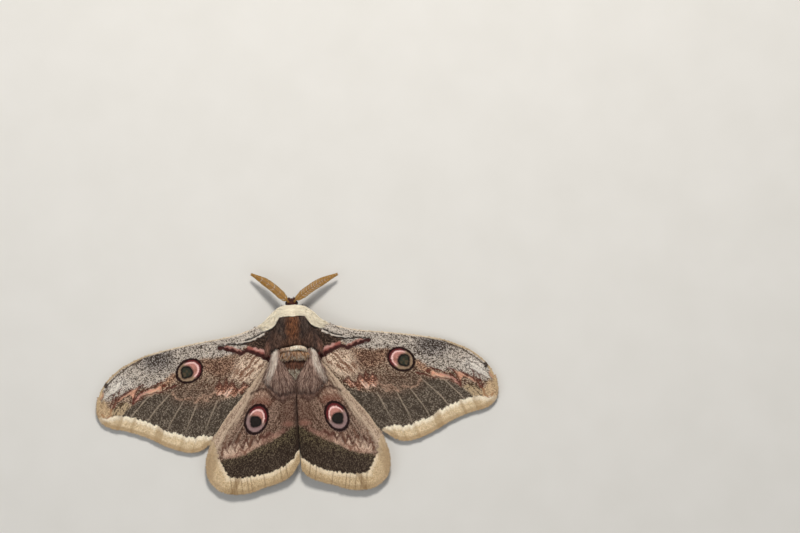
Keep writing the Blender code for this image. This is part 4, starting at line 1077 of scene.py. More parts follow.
def body_skin():
    """Rings joined to a closed skin, with the ends drawn together."""
    y = np.linspace(*SKIN_ENDS, SKIN_RINGS)
    angle = -math.pi / 2 + 2 * math.pi * np.arange(SKIN_SIDES + 1) / SKIN_SIDES
    rings, _ = skin_point(y[:, None] + 0 * angle, angle[None] + 0 * y[:, None])
    points = rings[:, :-1].reshape(-1, 3)
    ring, side = np.meshgrid(np.arange(SKIN_RINGS - 1), np.arange(SKIN_SIDES), indexing="ij")
    ring, side = ring.ravel(), side.ravel()
    a = ring * SKIN_SIDES + side
    b = ring * SKIN_SIDES + (side + 1) % SKIN_SIDES
    faces = np.concatenate([np.stack([a, b, b + SKIN_SIDES], 1),
                            np.stack([a, b + SKIN_SIDES, a + SKIN_SIDES], 1)])
    u = np.concatenate([np.stack([side, side + 1, side + 1], 1), np.stack([side, side + 1, side], 1)])
    v = np.concatenate([np.stack([ring, ring, ring + 1], 1), np.stack([ring, ring + 1, ring + 1], 1)])
    corners = np.stack([inset(u / SKIN_SIDES), inset(v / (SKIN_RINGS - 1))], axis=-1)
    for first, last in ((0, -1), ((SKIN_RINGS - 1) * SKIN_SIDES, 1)):
        middle = points[first:first + SKIN_SIDES].mean(axis=0) + (0, 0.02 * last, 0)
        points = np.vstack([points, middle])
        here = first + np.arange(SKIN_SIDES)
        after = first + (np.arange(SKIN_SIDES) + 1) % SKIN_SIDES
        cap = np.stack([here, np.full(SKIN_SIDES, len(points) - 1), after], 1)
        faces = np.concatenate([faces, cap if last > 0 else cap[:, ::-1]])
        place = here % SKIN_SIDES
        u = np.stack([place, place + 0.5, place + 1], 1) / SKIN_SIDES
        end = np.full((SKIN_SIDES, 3), inset(1 if last > 0 else 0))
        corners = np.concatenate([corners, np.stack([u, end], axis=-1)])
    return points, faces, corners


points, faces, corners = body_skin()
turned = outward(points, faces)
if turned is not faces:
    corners = corners[:, ::-1]
# Painted shade: the skin is darker the lower it lies.
height = (points[:, 2] / 10)[:, None]
tint = BISTRE * (0.75 + 0.25 * height)
skin = make_piece("body_skin", (points, turned, tint, points[:, :2]), SKIN, True, corners)
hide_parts("head", "collar", "thorax", "abdomen")

# %% [markdown]
# ## Hair in tufts
# The body is as woolly as a bear. Blender has hair strands for this, but a strand is a line and
# is lost when the model leaves Blender. So each tuft is a thin closed spike with three sides round
# a spine of a few points. One function turns any number of spines into spikes at once. A second one
# grows spines out of a skin, bowed a little and leaning along the lie of the coat.

# %% From spines to spikes
TIP_THINNING = 0.75


def unit(vectors):
    """Vectors of length one."""
    return vectors / np.linalg.norm(vectors, axis=-1)[..., None]


def spikes(spine, up, width, colours, places):
    """Closed three-sided spikes on spines, an array of hairs by points by three."""
    count, rings = spine.shape[0], spine.shape[1] - 1
    t = np.arange(rings + 1) / rings
    side = unit(np.cross(unit(spine[:, -1] - spine[:, 0]), up))
    ring = np.stack([side * 0.5, -side * 0.5, up * 0.55], axis=1) * width[:, None, None]
    taper = 1 - TIP_THINNING * t[:-1] ** 1.5
    body = spine[:, :-1, None] + ring[:, None] * taper[:, None, None]
    points = np.concatenate([body.reshape(count, -1, 3), spine[:, -1:]], axis=1)
    faces = [(0, 2, 1)]
    for j in range(rings):
        for k in range(3):
            a, b = 3 * j + k, 3 * j + (k + 1) % 3
            faces += [(a, b, 3 * rings)] if j == rings - 1 else [(a, b, b + 3), (a, b + 3, a + 3)]
    each = 3 * rings + 1
    faces = (np.array(faces)[None] + each * np.arange(count)[:, None, None]).reshape(-1, 3)
    blend = np.append(np.repeat(t[:-1], 3), 1.0)[:, None]
    dark, light = colours
    tint = dark[:, None] * (1 - blend) + light[:, None] * blend
    points = points.reshape(-1, 3)
    return points, outward(points, faces), tint.reshape(-1, 3), patch_map(places, each)


def tufts(root, lie, up, size, colours, places, bow=0.1, stand=0.15, rings=3, wander=0.12):
    """Spikes that leave their roots along the lie, rise a little and wander sideways."""
    length, width = size
    side = unit(np.cross(lie, up))
    up = np.cross(side, lie)
    t = np.arange(rings + 1) / rings
    rise = bow * 4 * t * (1 - t) + stand * t
    drift = draw.normal(0, wander, len(root))[:, None] * t ** 2
    spine = lie[:, None] * t[:, None] + up[:, None] * rise[:, None] + side[:, None] * drift[..., None]
    spine = root[:, None] + length[:, None, None] * spine
    return spikes(spine, up, width, colours, places)


def even_spread(count, y_range, angle_range):
    """Places spread evenly round and along the body, by steps of the golden ratio."""
    i = np.arange(count) + 0.5
    golden = (math.sqrt(5) - 1) / 2
    y = y_range[0] + (y_range[1] - y_range[0]) * i / count
    angle = angle_range[0] + (angle_range[1] - angle_range[0]) * (i * golden % 1)
    return y + draw.uniform(-0.1, 0.1, count), np.radians(angle)


# %% [markdown]
# ## Bands of combed hair
# Much of the hair lies over a surface between two lines: the collar between its front and rear
# edge, the skirts between the abdomen and the front of the hindwing. Growing it from points gives
# ragged borders. Here each hair follows the band, a fixed share of the way from one line to the
# other, as if combed, so the two lines set the outline and the way the hair turns.

# %% Hair between two lines
BAND_SAMPLES = 80
BAND_MAP_REACH = (16, 24)


def evenly(line):
    """A smooth line through the points as a fixed number of equal steps, and its length."""
    line = smooth_line(line, 0.1)
    reach = np.append(0, np.cumsum(np.linalg.norm(np.diff(line, axis=0), axis=1)))
    wanted = np.linspace(0, reach[-1], BAND_SAMPLES)
    return np.stack([np.interp(wanted, reach, line[:, i]) for i in (0, 1)], axis=1), reach[-1]


def band(side, count, guides, length, width, surface, paint, depth=0.8, lift=0.3, sway=0.05,
         feather=0.0, uneven=0.0, rings=3):
    """Hair from the start of the guide lines to their end, over a surface, on one side of the moth."""
    lines = [evenly(guide) for guide in guides]
    last = len(lines) - 1
    share = draw.random(count) + draw.normal(0, feather, count)
    reach = np.interp(share, np.linspace(0, 1, last + 1), [line_length for _, line_length in lines])
    size = np.minimum(length * draw.uniform(0.7, 1.3, count), 0.9 * reach)
    start = draw.random(count) * np.maximum(0, 1 - size / reach - np.abs(draw.normal(0, uneven, count)))
    t = np.linspace(0, 1, rings + 1)
    s = (start[:, None] + t * (size / reach)[:, None]) * (BAND_SAMPLES - 1)
    across = last * (share[:, None] + draw.normal(0, sway, count)[:, None] * t)
    nearest = np.clip(across.astype(int), 0, last - 1)
    spot = []
    for i in (0, 1):
        choices = np.stack([np.interp(s, np.arange(BAND_SAMPLES), line[:, i]) for line, _ in lines])
        a, b = (np.take_along_axis(choices, (nearest + step)[None], 0)[0] for step in (0, 1))
        spot.append(a + (b - a) * (across - nearest))
    x, y = spot
    low = depth * draw.random(count)[:, None]
    rise = lift * draw.random(count)[:, None] * 4 * t * (1 - 0.8 * t) - 0.1
    spine = np.stack([side * x, y, surface(x, y) - low + rise], axis=-1)
    colours = paint(side * x[:, 1], y[:, 1], share, 1 - low[:, 0] / max(depth, 0.01))
    places = np.stack([0.5 + 0.49 * side * x[:, 0] / BAND_MAP_REACH[0],
                       0.5 + 0.49 * y[:, 0] / BAND_MAP_REACH[1]], axis=1)
    up = np.tile((0.0, 0.0, 1.0), (count, 1))
    return spikes(spine, up, width * draw.uniform(0.75, 1.25, count), colours, places)


print("a spike with three rings has", 1 + 3 + 2 * 3 * 2, "triangles")

# %% [markdown]
# ## The colours of the body
# From above the thorax is rust brown along its middle and nearly black at its sides, the collar is
# cream, and the abdomen is hidden but for a few pale and dark tufts between the hindwings. The
# wings' canvas can paint this as well, with x running to both sides.

# %% The paint for the body
def paint_thorax(canvas):
    """Rust in the middle, soot at the sides and warmer brown towards the rear."""
    canvas.lay(canvas.speckle(0.35, screen(120, 90, 74), screen(68, 49, 40)),
               turn_on(canvas.flat_y, -6.8, -6.0))
    tuft = lumps(canvas.flat_x * 0.9, canvas.flat_y * 0.7, 57)
    for side in (-1, 1):
        canvas.lay(canvas.speckle(0.2 + 0.3 * tuft, screen(118, 98, 86), screen(62, 47, 40), 0.25),
                   canvas.oval((3.5 * side, 3.4), (2.4, 4.2)))
        canvas.lay(canvas.speckle(0.2 + 0.4 * tuft, screen(152, 118, 100), screen(86, 62, 50), 0.25),
                   canvas.oval((5.2 * side, -0.6), (1.8, 3.0), 0.5))
    canvas.lay(canvas.speckle(0.2 + 0.5 * tuft, screen(184, 122, 84), screen(98, 62, 42), 0.25),
               canvas.oval((0, 4.0), (2.0, 4.1), 0.5))
    canvas.lay(canvas.speckle(0.2 + 0.4 * tuft, screen(158, 114, 88), screen(90, 62, 47), 0.25),
               0.8 * canvas.oval((0, -1.0), (3.6, 1.8)))


def paint_waist(canvas):
    """The dark waist, the pale wedge behind it, and brown hair."""
    canvas.lay(canvas.speckle(0.4, screen(160, 128, 110), screen(98, 70, 58)))
    canvas.lay(canvas.speckle(0.4, screen(152, 104, 82), screen(98, 64, 50)),
               canvas.oval((0.1, -8.2), (3.8, 1.7)))
    pale = canvas.field([(-3.0, -9.4), (3.0, -9.4), (0.9, -14.6), (-0.9, -14.6)], 0.5)
    canvas.lay(canvas.speckle(0.62, screen(255, 242, 218), screen(146, 108, 84), 0.05), pale)
    canvas.lay(canvas.speckle(0.2, screen(110, 84, 72), screen(62, 42, 34)),
               turn_on(-canvas.flat_y, 15.5, 18.0))


def body_paint(x, y, dust):
    """The colour of the hair that grows at places of the body, seen from above."""
    canvas = Canvas(x, y, dust, 51)
    paint_waist(canvas)
    paint_thorax(canvas)
    head = turn_on(y, 8.6, 9.4)
    canvas.lay(canvas.speckle(0.35, screen(122, 70, 50), screen(62, 35, 27)), head)
    return canvas.colour


def tuft_colours(paint, x, y, fullness=0.85):
    """A root darkened by painted shade and a tip lightened by painted light, from the paint's colour for each
    tuft.
    """
    tint = paint(x, y, draw.random(len(x))) * draw.uniform(fullness, 1.15, (len(x), 1))
    return 0.62 * tint, 1.12 * tint


def thorax_hair(x, y, share, height):
    """Colours for a band of hair on the thorax, with painted shade on hair that lies deep in the coat."""
    dark, light = tuft_colours(body_paint, x, y)
    # Painted shade on the root, the more so the deeper the hair lies.
    return dark * (0.6 + 0.4 * height[:, None]), light


# %% [markdown]
# ## The coat of the body
# Under the combed bands hair grows all over the skin. It lies backwards like a cat's, a little
# outwards at the sides. The same few lines grow it on every part, with other lengths: long on the
# thorax, short on the head, thin below. The roots come from an even spiral of places, which
# leaves no rows or bald spots.

# %% Coats by part of the body
def body_coat(count, y_range, angles, flow, length, width, bow=0.1, stand=0.15, paint=body_paint):
    """Tufts on the skin that lie towards the flow, a direction for a place on the skin."""
    y, angle = even_spread(count, y_range, angles)
    root, normal = skin_point(y, angle)
    lie = flow(root, normal) + draw.normal(0, 0.10, root.shape)
    lie = unit(lie - np.sum(lie * normal, axis=1)[:, None] * normal)
    size = (length * draw.uniform(0.75, 1.25, count), width * draw.uniform(0.75, 1.25, count))
    ahead = root + lie * size[0][:, None] * 0.4
    colours = tuft_colours(paint, ahead[:, 0], ahead[:, 1])
    return tufts(root - normal * 0.1, lie, normal, size, colours, body_map(y, angle), bow, stand)


def backwards(root, normal):
    """Towards the tail and a little outwards."""
    return np.stack([0.22 * root[:, 0] / 5.0, -np.ones(len(root)), 0 * root[:, 0]], axis=1)


def down_the_face(root, normal):
    """Over the face, forwards and down."""
    return 0.5 * unit(root - HEAD_CENTRE) + np.array((0.0, 0.3, -0.7))


ALL_ROUND = (-90, 270)
abdomen_coat = join([body_coat(5400, (-30.4, -5.4), ALL_ROUND, backwards, 2.3, 0.3, stand=0.16),
                     body_coat(1500, (-15.6, -6.0), (30, 150), backwards, 2.4, 0.18, stand=0.5)])
make_piece("abdomen_coat", abdomen_coat, HAIR, True)
face_front = HEAD_CENTRE[1] + HEAD_RADIUS - 0.01
head_coat = join([body_coat(2000, (10.8, face_front), ALL_ROUND, down_the_face, 0.7, 0.15, stand=0.35),
                  body_coat(1200, (10.9, face_front - 0.3), (15, 165), backwards, 0.6, 0.14, stand=0.25)])
make_piece("head_coat", head_coat, HAIR, True)

# %% [markdown]
# ## The back of the thorax
# Seen from above the thorax is a bell: narrow behind the collar, wider where its hair spreads over
# the roots of the wings, and cut off straight at the rear. Its top is a dome whose sides run out
# on to the wings, so one height formula joins the two with a hollow between, as real hair does.

# %% Hair over the thorax
HOLLOW = 0.5
THORAX_MIDDLE = [(0, 8.0), (0, 4.0), (0, 0), (0, -2.7)]
THORAX_EDGE = [(4.3, 7.2), (5.4, 4.8), (6.2, 2.2), (6.5, 0.0), (6.3, -2.0), (5.9, -3.8)]


def dome(x, y):
    """Top of the hairy body at places to one side of its middle line."""
    half, low, high = body_section(y)
    across = np.clip(np.abs(x) / np.maximum(half, 0.1), 0, 1)
    return (low + high) / 2 + (high - low) / 2 * (1 - across ** 2.2) ** 0.5


def back_of_body(x, y):
    """The dome of the body, running out over the wings."""
    wing = forewing_height(x, y) + MEMBRANE_THICKNESS / 2 + 0.15 + WING_CLEARANCE * turn_on(-y, 0.5, 3.5)
    return wing + HOLLOW * np.logaddexp(0, (dome(x, y) - wing) / HOLLOW)


backs = [body_coat(1500, (-5.0, 7.8), (-5, 185), backwards, 2.2, 0.26, stand=0.1),
         body_coat(2100, (-6.4, 8.2), (185, 355), backwards, 2.0, 0.32, stand=0.15)]
for side in (-1, 1):
    backs.append(band(side, 4100, (THORAX_MIDDLE, THORAX_EDGE), 2.2, 0.18, back_of_body, thorax_hair,
                      depth=0.9, lift=0.6, sway=0.09, feather=0.05, uneven=0.04))
make_piece("thorax_coat", join(backs), HAIR, True)

# %% [markdown]
# ## The cream collar
# The collar is a smooth ruff: an arc over the neck that sweeps out along the front edge of each
# forewing and fades into it. Its hair is fine, even and thick, and rounds down at the front.

# %% Arc and sweep
COLLAR_REAR = [(-1.4, 7.4), (0, 7.3), (2.4, 7.4), (3.9, 7.0), (5.0, 5.8), (5.9, 4.5), (7.4, 3.5),
               (9.4, 2.9), (11.0, 3.0)]
COLLAR_FRONT = [(-1.4, 10.7), (0, 10.75), (2.2, 10.65), (4.0, 10.2), (5.4, 9.4), (7.2, 7.9), (8.8, 6.2),
                (10.4, 5.0), (12.2, 4.3)]
COLLAR_TOP_Y = (2.0, 5.0, 7.4, 9.0, 10.2, 10.8)
COLLAR_TOP_Z = (10.2, 10.2, 10.0, 9.2, 8.0, 6.9)
COLLAR_REACH = 5.4


def collar_height(x, y):
    """Highest over the neck, and down to the wing at the sides."""
    wing = forewing_height(x, y) + MEMBRANE_THICKNESS / 2 + 0.25
    top = np.interp(y, COLLAR_TOP_Y, COLLAR_TOP_Z)
    return wing + (top - wing) * np.exp(-(np.abs(x) / COLLAR_REACH) ** 2.4)


def collar_hair(x, y, share, height):
    """Cream, in pale and slightly darker locks."""
    lock = lumps(share * 14, np.abs(x) * 0.25, 71)[:, None]
    cream = screen(255, 243, 218) * (0.98 + 0.12 * lock) * draw.uniform(0.94, 1.06, (len(x), 1))
    # Painted shade on the root, the more so the deeper the hair lies in the coat.
    return cream * (0.62 + 0.2 * height[:, None]), cream


collar = [band(side, 4700, (COLLAR_REAR, COLLAR_FRONT), 2.2, 0.18, collar_height, collar_hair,
               depth=0.9, lift=0.3, sway=0.03, feather=0.015, uneven=0.12) for side in (-1, 1)]
make_piece("collar_coat", join(collar), HAIR, True)

# %% [markdown]
# ## Tufts at the rear of the thorax
# Behind the brown back comes a narrow band of cream hair, then rust tufts with pale tips that end
# above the dark waist. They are rows rather than a coat, so each row is placed along its own line,
# and its tufts all point to the tail.

# %% Rows of tufts
def row_of_tufts(count, line, depth, length, width, light, dark, rise=0.0, stand=0.1, pale_tips=0.0):
    """Tufts rooted along a line over the back, at its height, and lying to the tail."""
    line = smooth_line(line, 0.1)
    place = draw.random(count) * (len(line) - 1)
    x = np.interp(place, np.arange(len(line)), line[:, 0])
    y = np.interp(place, np.arange(len(line)), line[:, 1]) - depth * draw.random(count)
    z = dome(x, y) + rise - draw.uniform(0.1, 0.5, count)
    lie = unit(np.stack([0.05 * x + draw.normal(0, 0.14, count), -np.ones(count), -0.12 + 0 * x], axis=1))
    pick = (draw.random(count) < 0.5)[:, None]
    tint = np.where(pick, light, dark) * draw.uniform(0.85, 1.15, (count, 1))
    # Some tufts have pale tips; the rest get a little painted light at the tip, and every root gets painted
    # shade.
    tip = np.where((draw.random(count) < pale_tips)[:, None], screen(222, 208, 190), 1.1 * tint)
    size = (length * draw.uniform(0.45, 1.25, count), width * draw.uniform(0.8, 1.2, count))
    up = np.tile((0.0, 0.0, 1.0), (count, 1))
    return tufts(np.stack([x, y, z], axis=1), lie, up, size, (0.8 * tint, tip),
                 body_map(y, np.arctan2(z, x)), bow=0.12, stand=stand)


rows = [
    row_of_tufts(1500, [(-4.8, -4.4), (-2.5, -3.8), (0, -3.6), (2.5, -3.8), (4.7, -4.4)], 1.6, 2.0, 0.18,
                 screen(210, 162, 116), screen(124, 82, 58), rise=0.1, pale_tips=0.35),
    row_of_tufts(600, [(-3.2, -5.1), (-0.6, -4.6), (1.2, -5.0), (2.8, -4.7)], 1.0, 1.5, 0.16,
                 screen(250, 234, 210), screen(172, 130, 98), rise=0.3),
    row_of_tufts(700, [(-4.4, -3.1), (-2.4, -2.7), (0.0, -2.5)], 0.5, 0.9, 0.16,
                 screen(232, 204, 176), screen(158, 118, 92), rise=0.45),
    row_of_tufts(1100, [(-1.1, -2.5), (1.2, -2.2), (2.9, -2.5), (4.0, -3.1)], 0.55, 1.1, 0.17,
                 screen(255, 246, 226), screen(236, 212, 182), rise=0.55)]
make_piece("thorax_rows", join(rows), HAIR, True)

# %% [markdown]
# ## Long hair over the roots of the wings
# From the corners of the thorax long soft hair runs over the roots: brown and pink beside the
# black patch of the forewing, and a wide pinkish grey skirt over the hindwing, with a pale plume
# along its outer side. The skirts leave the dark waist bare and end before the dark arc.

# %% Shoulder hair and the skirts
SKIRT_INNER = [(4.6, -3.4), (4.2, -6.6), (3.3, -9.4), (1.9, -12.2), (0.6, -14.8), (0.35, -18.6)]
SKIRT_MIDDLE = [(5.6, -2.8), (5.7, -6.4), (5.8, -10.4), (5.6, -14.6), (5.4, -19.4)]
SKIRT_OUTER = [(6.4, -2.2), (7.1, -5.4), (8.3, -9.0), (9.3, -12.4), (10.1, -15.6)]
PLUME = [(6.0, -3.0), (6.7, -7.5), (8.6, -12.0), (11.3, -16.0)]
SHOULDER_INNER = [(5.2, 2.6), (6.0, -1.0), (6.3, -4.6)]
SHOULDER_OUTER = [(6.8, 3.0), (8.4, -1.4), (9.3, -6.4)]


def over_hindwing(x, y):
    """Just above the hindwing and the hairy abdomen."""
    half = body_section(y)[0]
    wing = hindwing_height(np.maximum(x, 0.1), y) - 0.7 * turn_on(y, -6.0, -3.0)
    return np.where(x < half, np.maximum(dome(x, y), wing), wing) + MEMBRANE_THICKNESS / 2 + 0.3


def skirt_hair(x, y, share, height):
    """Pinkish grey in locks, with a pale plume, dark ends, painted shade along the middle and painted shade
    on hair that lies deep.
    """
    lock = lumps(share * 26, 0 * share, 61)
    x = np.abs(x)
    canvas = Canvas(x, y, draw.random(len(x)), 62)
    canvas.lay(canvas.speckle(0.1 + 0.7 * lock, screen(204, 172, 154), screen(112, 84, 72), 0.2))
    plume, _ = gap_to(x, y, PLUME)
    fade = 1 - 0.7 * turn_on(-y, 8.0, 15.5)
    pale = canvas.speckle(0.5 + 0.4 * lock, screen(255, 244, 228), screen(208, 182, 162))
    canvas.lay(pale, 0.9 * fade * turn_off(plume, 0.1, 1.5))
    canvas.lay(screen(106, 76, 64), 0.4 * turn_on(-y, 15.5, 18.5))
    # Painted shade along the middle, where the two skirts meet.
    canvas.lay(screen(96, 70, 58), 0.6 * turn_off(x, 0.3, 1.6) * turn_on(-y, 12, 15))
    # Painted shade on hair that lies deep in the coat; below, more painted shade at the root and a little
    # painted light at the tip.
    tint = canvas.colour * (0.65 + 0.35 * height[:, None])
    return 0.75 * tint, 1.12 * tint


def shoulder_hair(x, y, share, height):
    """Dark beside the thorax, brown and pink further out and down."""
    canvas = Canvas(np.abs(x), y, draw.random(len(x)), 63)
    canvas.lay(canvas.speckle(0.35, screen(112, 88, 76), screen(62, 45, 38)))
    pink = turn_on(share, 0.35, 0.9) * turn_on(-y, -1.5, 3.0)
    canvas.lay(canvas.speckle(0.5, screen(176, 132, 112), screen(108, 72, 58)), pink)
    # Painted shade on hair that lies deep in the coat; below, more painted shade at the root and a little
    # painted light at the tip.
    tint = canvas.colour * (0.55 + 0.45 * height[:, None])
    return 0.75 * tint, 1.12 * tint


for word, side in SIDES.items():
    skirt = band(side, 7600, (SKIRT_INNER, SKIRT_MIDDLE, SKIRT_OUTER), 3.0, 0.15, over_hindwing,
                 skirt_hair, depth=0.3, lift=0.35, sway=0.06, feather=0.06, uneven=0.05)
    make_piece(f"hindwing_hair_{word}", skirt, HAIR, True)
    shoulder = band(side, 1500, (SHOULDER_INNER, SHOULDER_OUTER), 2.4, 0.14, back_of_body, shoulder_hair,
                    depth=0.15, lift=0.25, sway=0.15, feather=0.15, uneven=0.15)
    make_piece(f"shoulder_hair_{word}", shoulder, HAIR, True)

# %% [markdown]
# ## Round rods: one function for shafts, combs and legs
# A curve with a bevel makes one tube well. The antennae have hundreds of fine ones, so this
# function lays rings round many paths at once and closes their ends. Every path has the same
# number of points, and each point its own radius.

# %% Many tubes at once
def tubes(paths, radii, sides, tint, places):
    """Closed tubes along the paths, an array of tubes by points by three."""
    count, length = paths.shape[:2]
    along = unit(np.gradient(paths, axis=1))
    across = unit(np.cross(along, (0.0, 0.02, 1.0)))
    up = np.cross(across, along)
    angle = 2 * math.pi * np.arange(sides) / sides
    ring = (across[:, :, None] * np.cos(angle)[:, None] + up[:, :, None] * np.sin(angle)[:, None])
    body = paths[:, :, None] + ring * radii[:, :, None, None]
    points = np.concatenate([body.reshape(count, -1, 3), paths[:, :1], paths[:, -1:]], axis=1)
    faces = []
    for j in range(length - 1):
        for k in range(sides):
            a, b = sides * j + k, sides * j + (k + 1) % sides
            faces += [(a, b, b + sides), (a, b + sides, a + sides)]
    last = sides * (length - 1)
    for k in range(sides):
        after = (k + 1) % sides
        faces += [(after, k, sides * length), (last + k, last + after, sides * length + 1)]
    each = sides * length + 2
    faces = (np.array(faces)[None] + each * np.arange(count)[:, None, None]).reshape(-1, 3)
    points = points.reshape(-1, 3)
    return points, outward(points, faces), np.repeat(tint, each, axis=0), patch_map(places, each)


def square_to(along, turn):
    """Directions at a right angle to a rod, turned about it."""
    across = unit(np.cross(along, (0.0, 0.0, 1.0)))
    return across * np.cos(turn)[:, None] + np.cross(across, along) * np.sin(turn)[:, None]


# %% [markdown]
# ## The antennae
# The male's antennae are feathers. A bent shaft has about thirty joints, each joint has two pairs
# of side combs, and each comb is fringed with sensitive hairs. All three are built, since the
# fringe is what makes the feather look golden and nearly closed.

# %% Shaft, combs and fringe
ANTENNA_ROOT_DIRECTION = unit(np.array((0.5, 0.52, 0.62)))
ANTENNA_ANGLE = {"left": 39.0, "right": 28.5}
ANTENNA_LENGTH = {"left": 14.4, "right": 15.8}
ANTENNA_TIP_Z = 3.2
ANTENNA_BOW = 0.7
SOLID_HEAD_RADII = np.array((2.1, 2.0, 2.1))
JOINTS = 33
COMB_LENGTH = 1.7
COMB_POINTS = 7
HAIRS_ON_COMB = 19


def antenna_line(side):
    """The shaft from inside the head to its drooping tip, along the solid's own line."""
    mirror = np.array((SIDES[side], 1.0, 1.0))
    out = ANTENNA_ROOT_DIRECTION * mirror
    root = HEAD_CENTRE + out * SOLID_HEAD_RADII
    start = root + unit(out / SOLID_HEAD_RADII) * 0.9
    angle = math.radians(ANTENNA_ANGLE[side])
    heading = np.array((math.cos(angle), math.sin(angle), 0)) * mirror
    beside = np.array((-math.sin(angle), math.cos(angle), 0)) * mirror
    points = [root - out * 0.7, root, start]
    for t in np.linspace(0.08, 1.0, 12):
        place = start + heading * ANTENNA_LENGTH[side] * t + beside * ANTENNA_BOW * math.sin(math.pi * t)
        place[2] = start[2] + (ANTENNA_TIP_Z - start[2]) * t ** 1.3
        points.append(place)
    return smooth_line(points, 0.2)


def antenna(side):
    """A shaft, four combs to each joint and a fringe of hairs on every comb."""
    shaft = antenna_line(side)
    reach = np.linspace(0, 1, len(shaft))
    knots = 1 + 0.10 * np.sin(2 * math.pi * JOINTS * reach)
    radii = np.interp(reach, (0, 0.05, 0.12, 1), (0.36, 0.36, 0.25, 0.10)) * knots
    shape = [tubes(shaft[None], radii[None], 8, OCHRE[None] * 0.7, np.array([(0.5, 0.02)]))]
    along = unit(np.gradient(shaft, axis=0))
    combs, comb_radii, spots, hairs, hair_lie, hair_spots = [], [], [], [], [], []
    for joint in range(JOINTS * 2):
        t = 0.10 + 0.89 * (joint + 0.5) / (JOINTS * 2)
        here = int(t * (len(shaft) - 1))
        size = min(1.0, 0.6 + 4.0 * (t - 0.1)) * (1 - 0.8 * float(turn_on(t, 0.55, 1.05)))
        for way in (-1, 1):
            across = np.cross(along[here], (0, 0, 1)) * way
            s = np.linspace(0, 1, COMB_POINTS)[:, None]
            lean = np.radians(60 - 22 * s + 4 * (joint % 2))
            step = along[here] * np.cos(lean) + across * np.sin(lean)
            drop = np.array((0, 0, -0.22 - 0.1 * (joint % 2)))
            path = shaft[here] + np.cumsum(step + drop * s, axis=0) * COMB_LENGTH * size / COMB_POINTS
            combs.append(path)
            comb_radii.append(np.linspace(0.10, 0.055, COMB_POINTS))
            spots.append((0.5 + 0.4 * way * size, t))
            for k in np.linspace(0.02, 1.0, HAIRS_ON_COMB):
                place = path[min(int(k * (COMB_POINTS - 1)), COMB_POINTS - 2)]
                after = path[min(int(k * (COMB_POINTS - 1)) + 1, COMB_POINTS - 1)]
                for turn in (-1, 1):
                    hairs.append(place + (after - place) * (k * (COMB_POINTS - 1) % 1))
                    hair_lie.append(unit(after - place) * 0.6 + along[here] * 0.75 * turn)
                    hair_spots.append((0.5 + 0.4 * way * size * k, t))
    combs, comb_radii = np.array(combs), np.array(comb_radii)
    comb_tint = OCHRE * draw.uniform(0.8, 1.15, (len(combs), 1))
    shape.append(tubes(combs, comb_radii, 5, comb_tint, np.array(spots)))
    hairs, hair_lie = np.array(hairs), unit(np.array(hair_lie) + draw.normal(0, 0.08, (len(hairs), 3)))
    gold = screen(176, 138, 73) * draw.uniform(0.75, 1.2, (len(hairs), 1))
    size = (draw.uniform(0.24, 0.38, len(hairs)), np.full(len(hairs), 0.09))
    shape.append(tufts(hairs, hair_lie, np.tile((0.0, 0.0, 1.0), (len(hairs), 1)), size, (gold, gold),
                       np.array(hair_spots), rings=1, stand=0.0))
    return join(shape)


for side in SIDES:
    feeler = make_piece(f"antenna_{side}_feather", antenna(side), HORN, True)
    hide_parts(f"antenna_{side}")

# %% [markdown]
# ## The eyes and palps
# A moth's eye is a dark ball of many hundred lenses. A noise bump would give grain, not lenses, so
# lens centres are spread evenly over the ball and each corner of a fine ball rises by how near it
# is to its own centre. The palps are two short hairy fingers under the face.

# %% Compound eyes
LENSES = 900
LENS_RISE = 0.02


def eye_ball(centre, radii):
    """A ball with a low dome for each lens."""
    bm = bmesh.new()
    bmesh.ops.create_icosphere(bm, subdivisions=6, radius=1.0)
    ball = np.array([v.co for v in bm.verts])
    faces = np.array([[v.index for v in f.verts] for f in bm.faces])
    bm.free()
    i = np.arange(LENSES) + 0.5
    tall = 1 - 2 * i / LENSES
    turn = math.pi * (1 + math.sqrt(5)) * i
    flat = np.sqrt(1 - tall ** 2)
    lenses = np.stack([flat * np.cos(turn), flat * np.sin(turn), tall], axis=1)
    near = np.max(ball @ lenses.T, axis=1)
    reach = np.sqrt(np.maximum(0, 2 - 2 * near)) / math.sqrt(4 / LENSES)
    dome = 1 - np.clip(reach, 0, 1) ** 2
    points = centre + ball * radii * (1 + LENS_RISE * (dome[:, None] - 1))
    tint = mix_colours(screen(30, 20, 17), screen(74, 48, 38), 0.6 * dome)
    places = np.stack([0.5 + 0.48 * np.arctan2(ball[:, 1], ball[:, 0]) / math.pi,
                       0.5 + 0.48 * ball[:, 2]], axis=1)
    return points, outward(points, faces), tint, places


for side in SIDES:
    low, high = node_box(f"eye_{side}")
    inner_x = min(abs(low[0]), abs(high[0]))
    centre = np.array((SIDES[side] * (inner_x - 0.75), (low[1] + high[1]) / 2,
                       (low[2] + high[2]) / 2 - 0.2))
    radii = np.array((0.95, 0.88 * (high[1] - low[1]) / 2, 0.88 * (high[2] - low[2]) / 2))
    eye = make_piece(f"eye_{side}_facets", eye_ball(centre, radii), EYE_GLASS, True)
    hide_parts(f"eye_{side}")

# %% Palps
PALP_PLACE = np.array((0.5, 11.9, 3.9))
PALP_LENGTH = 1.9


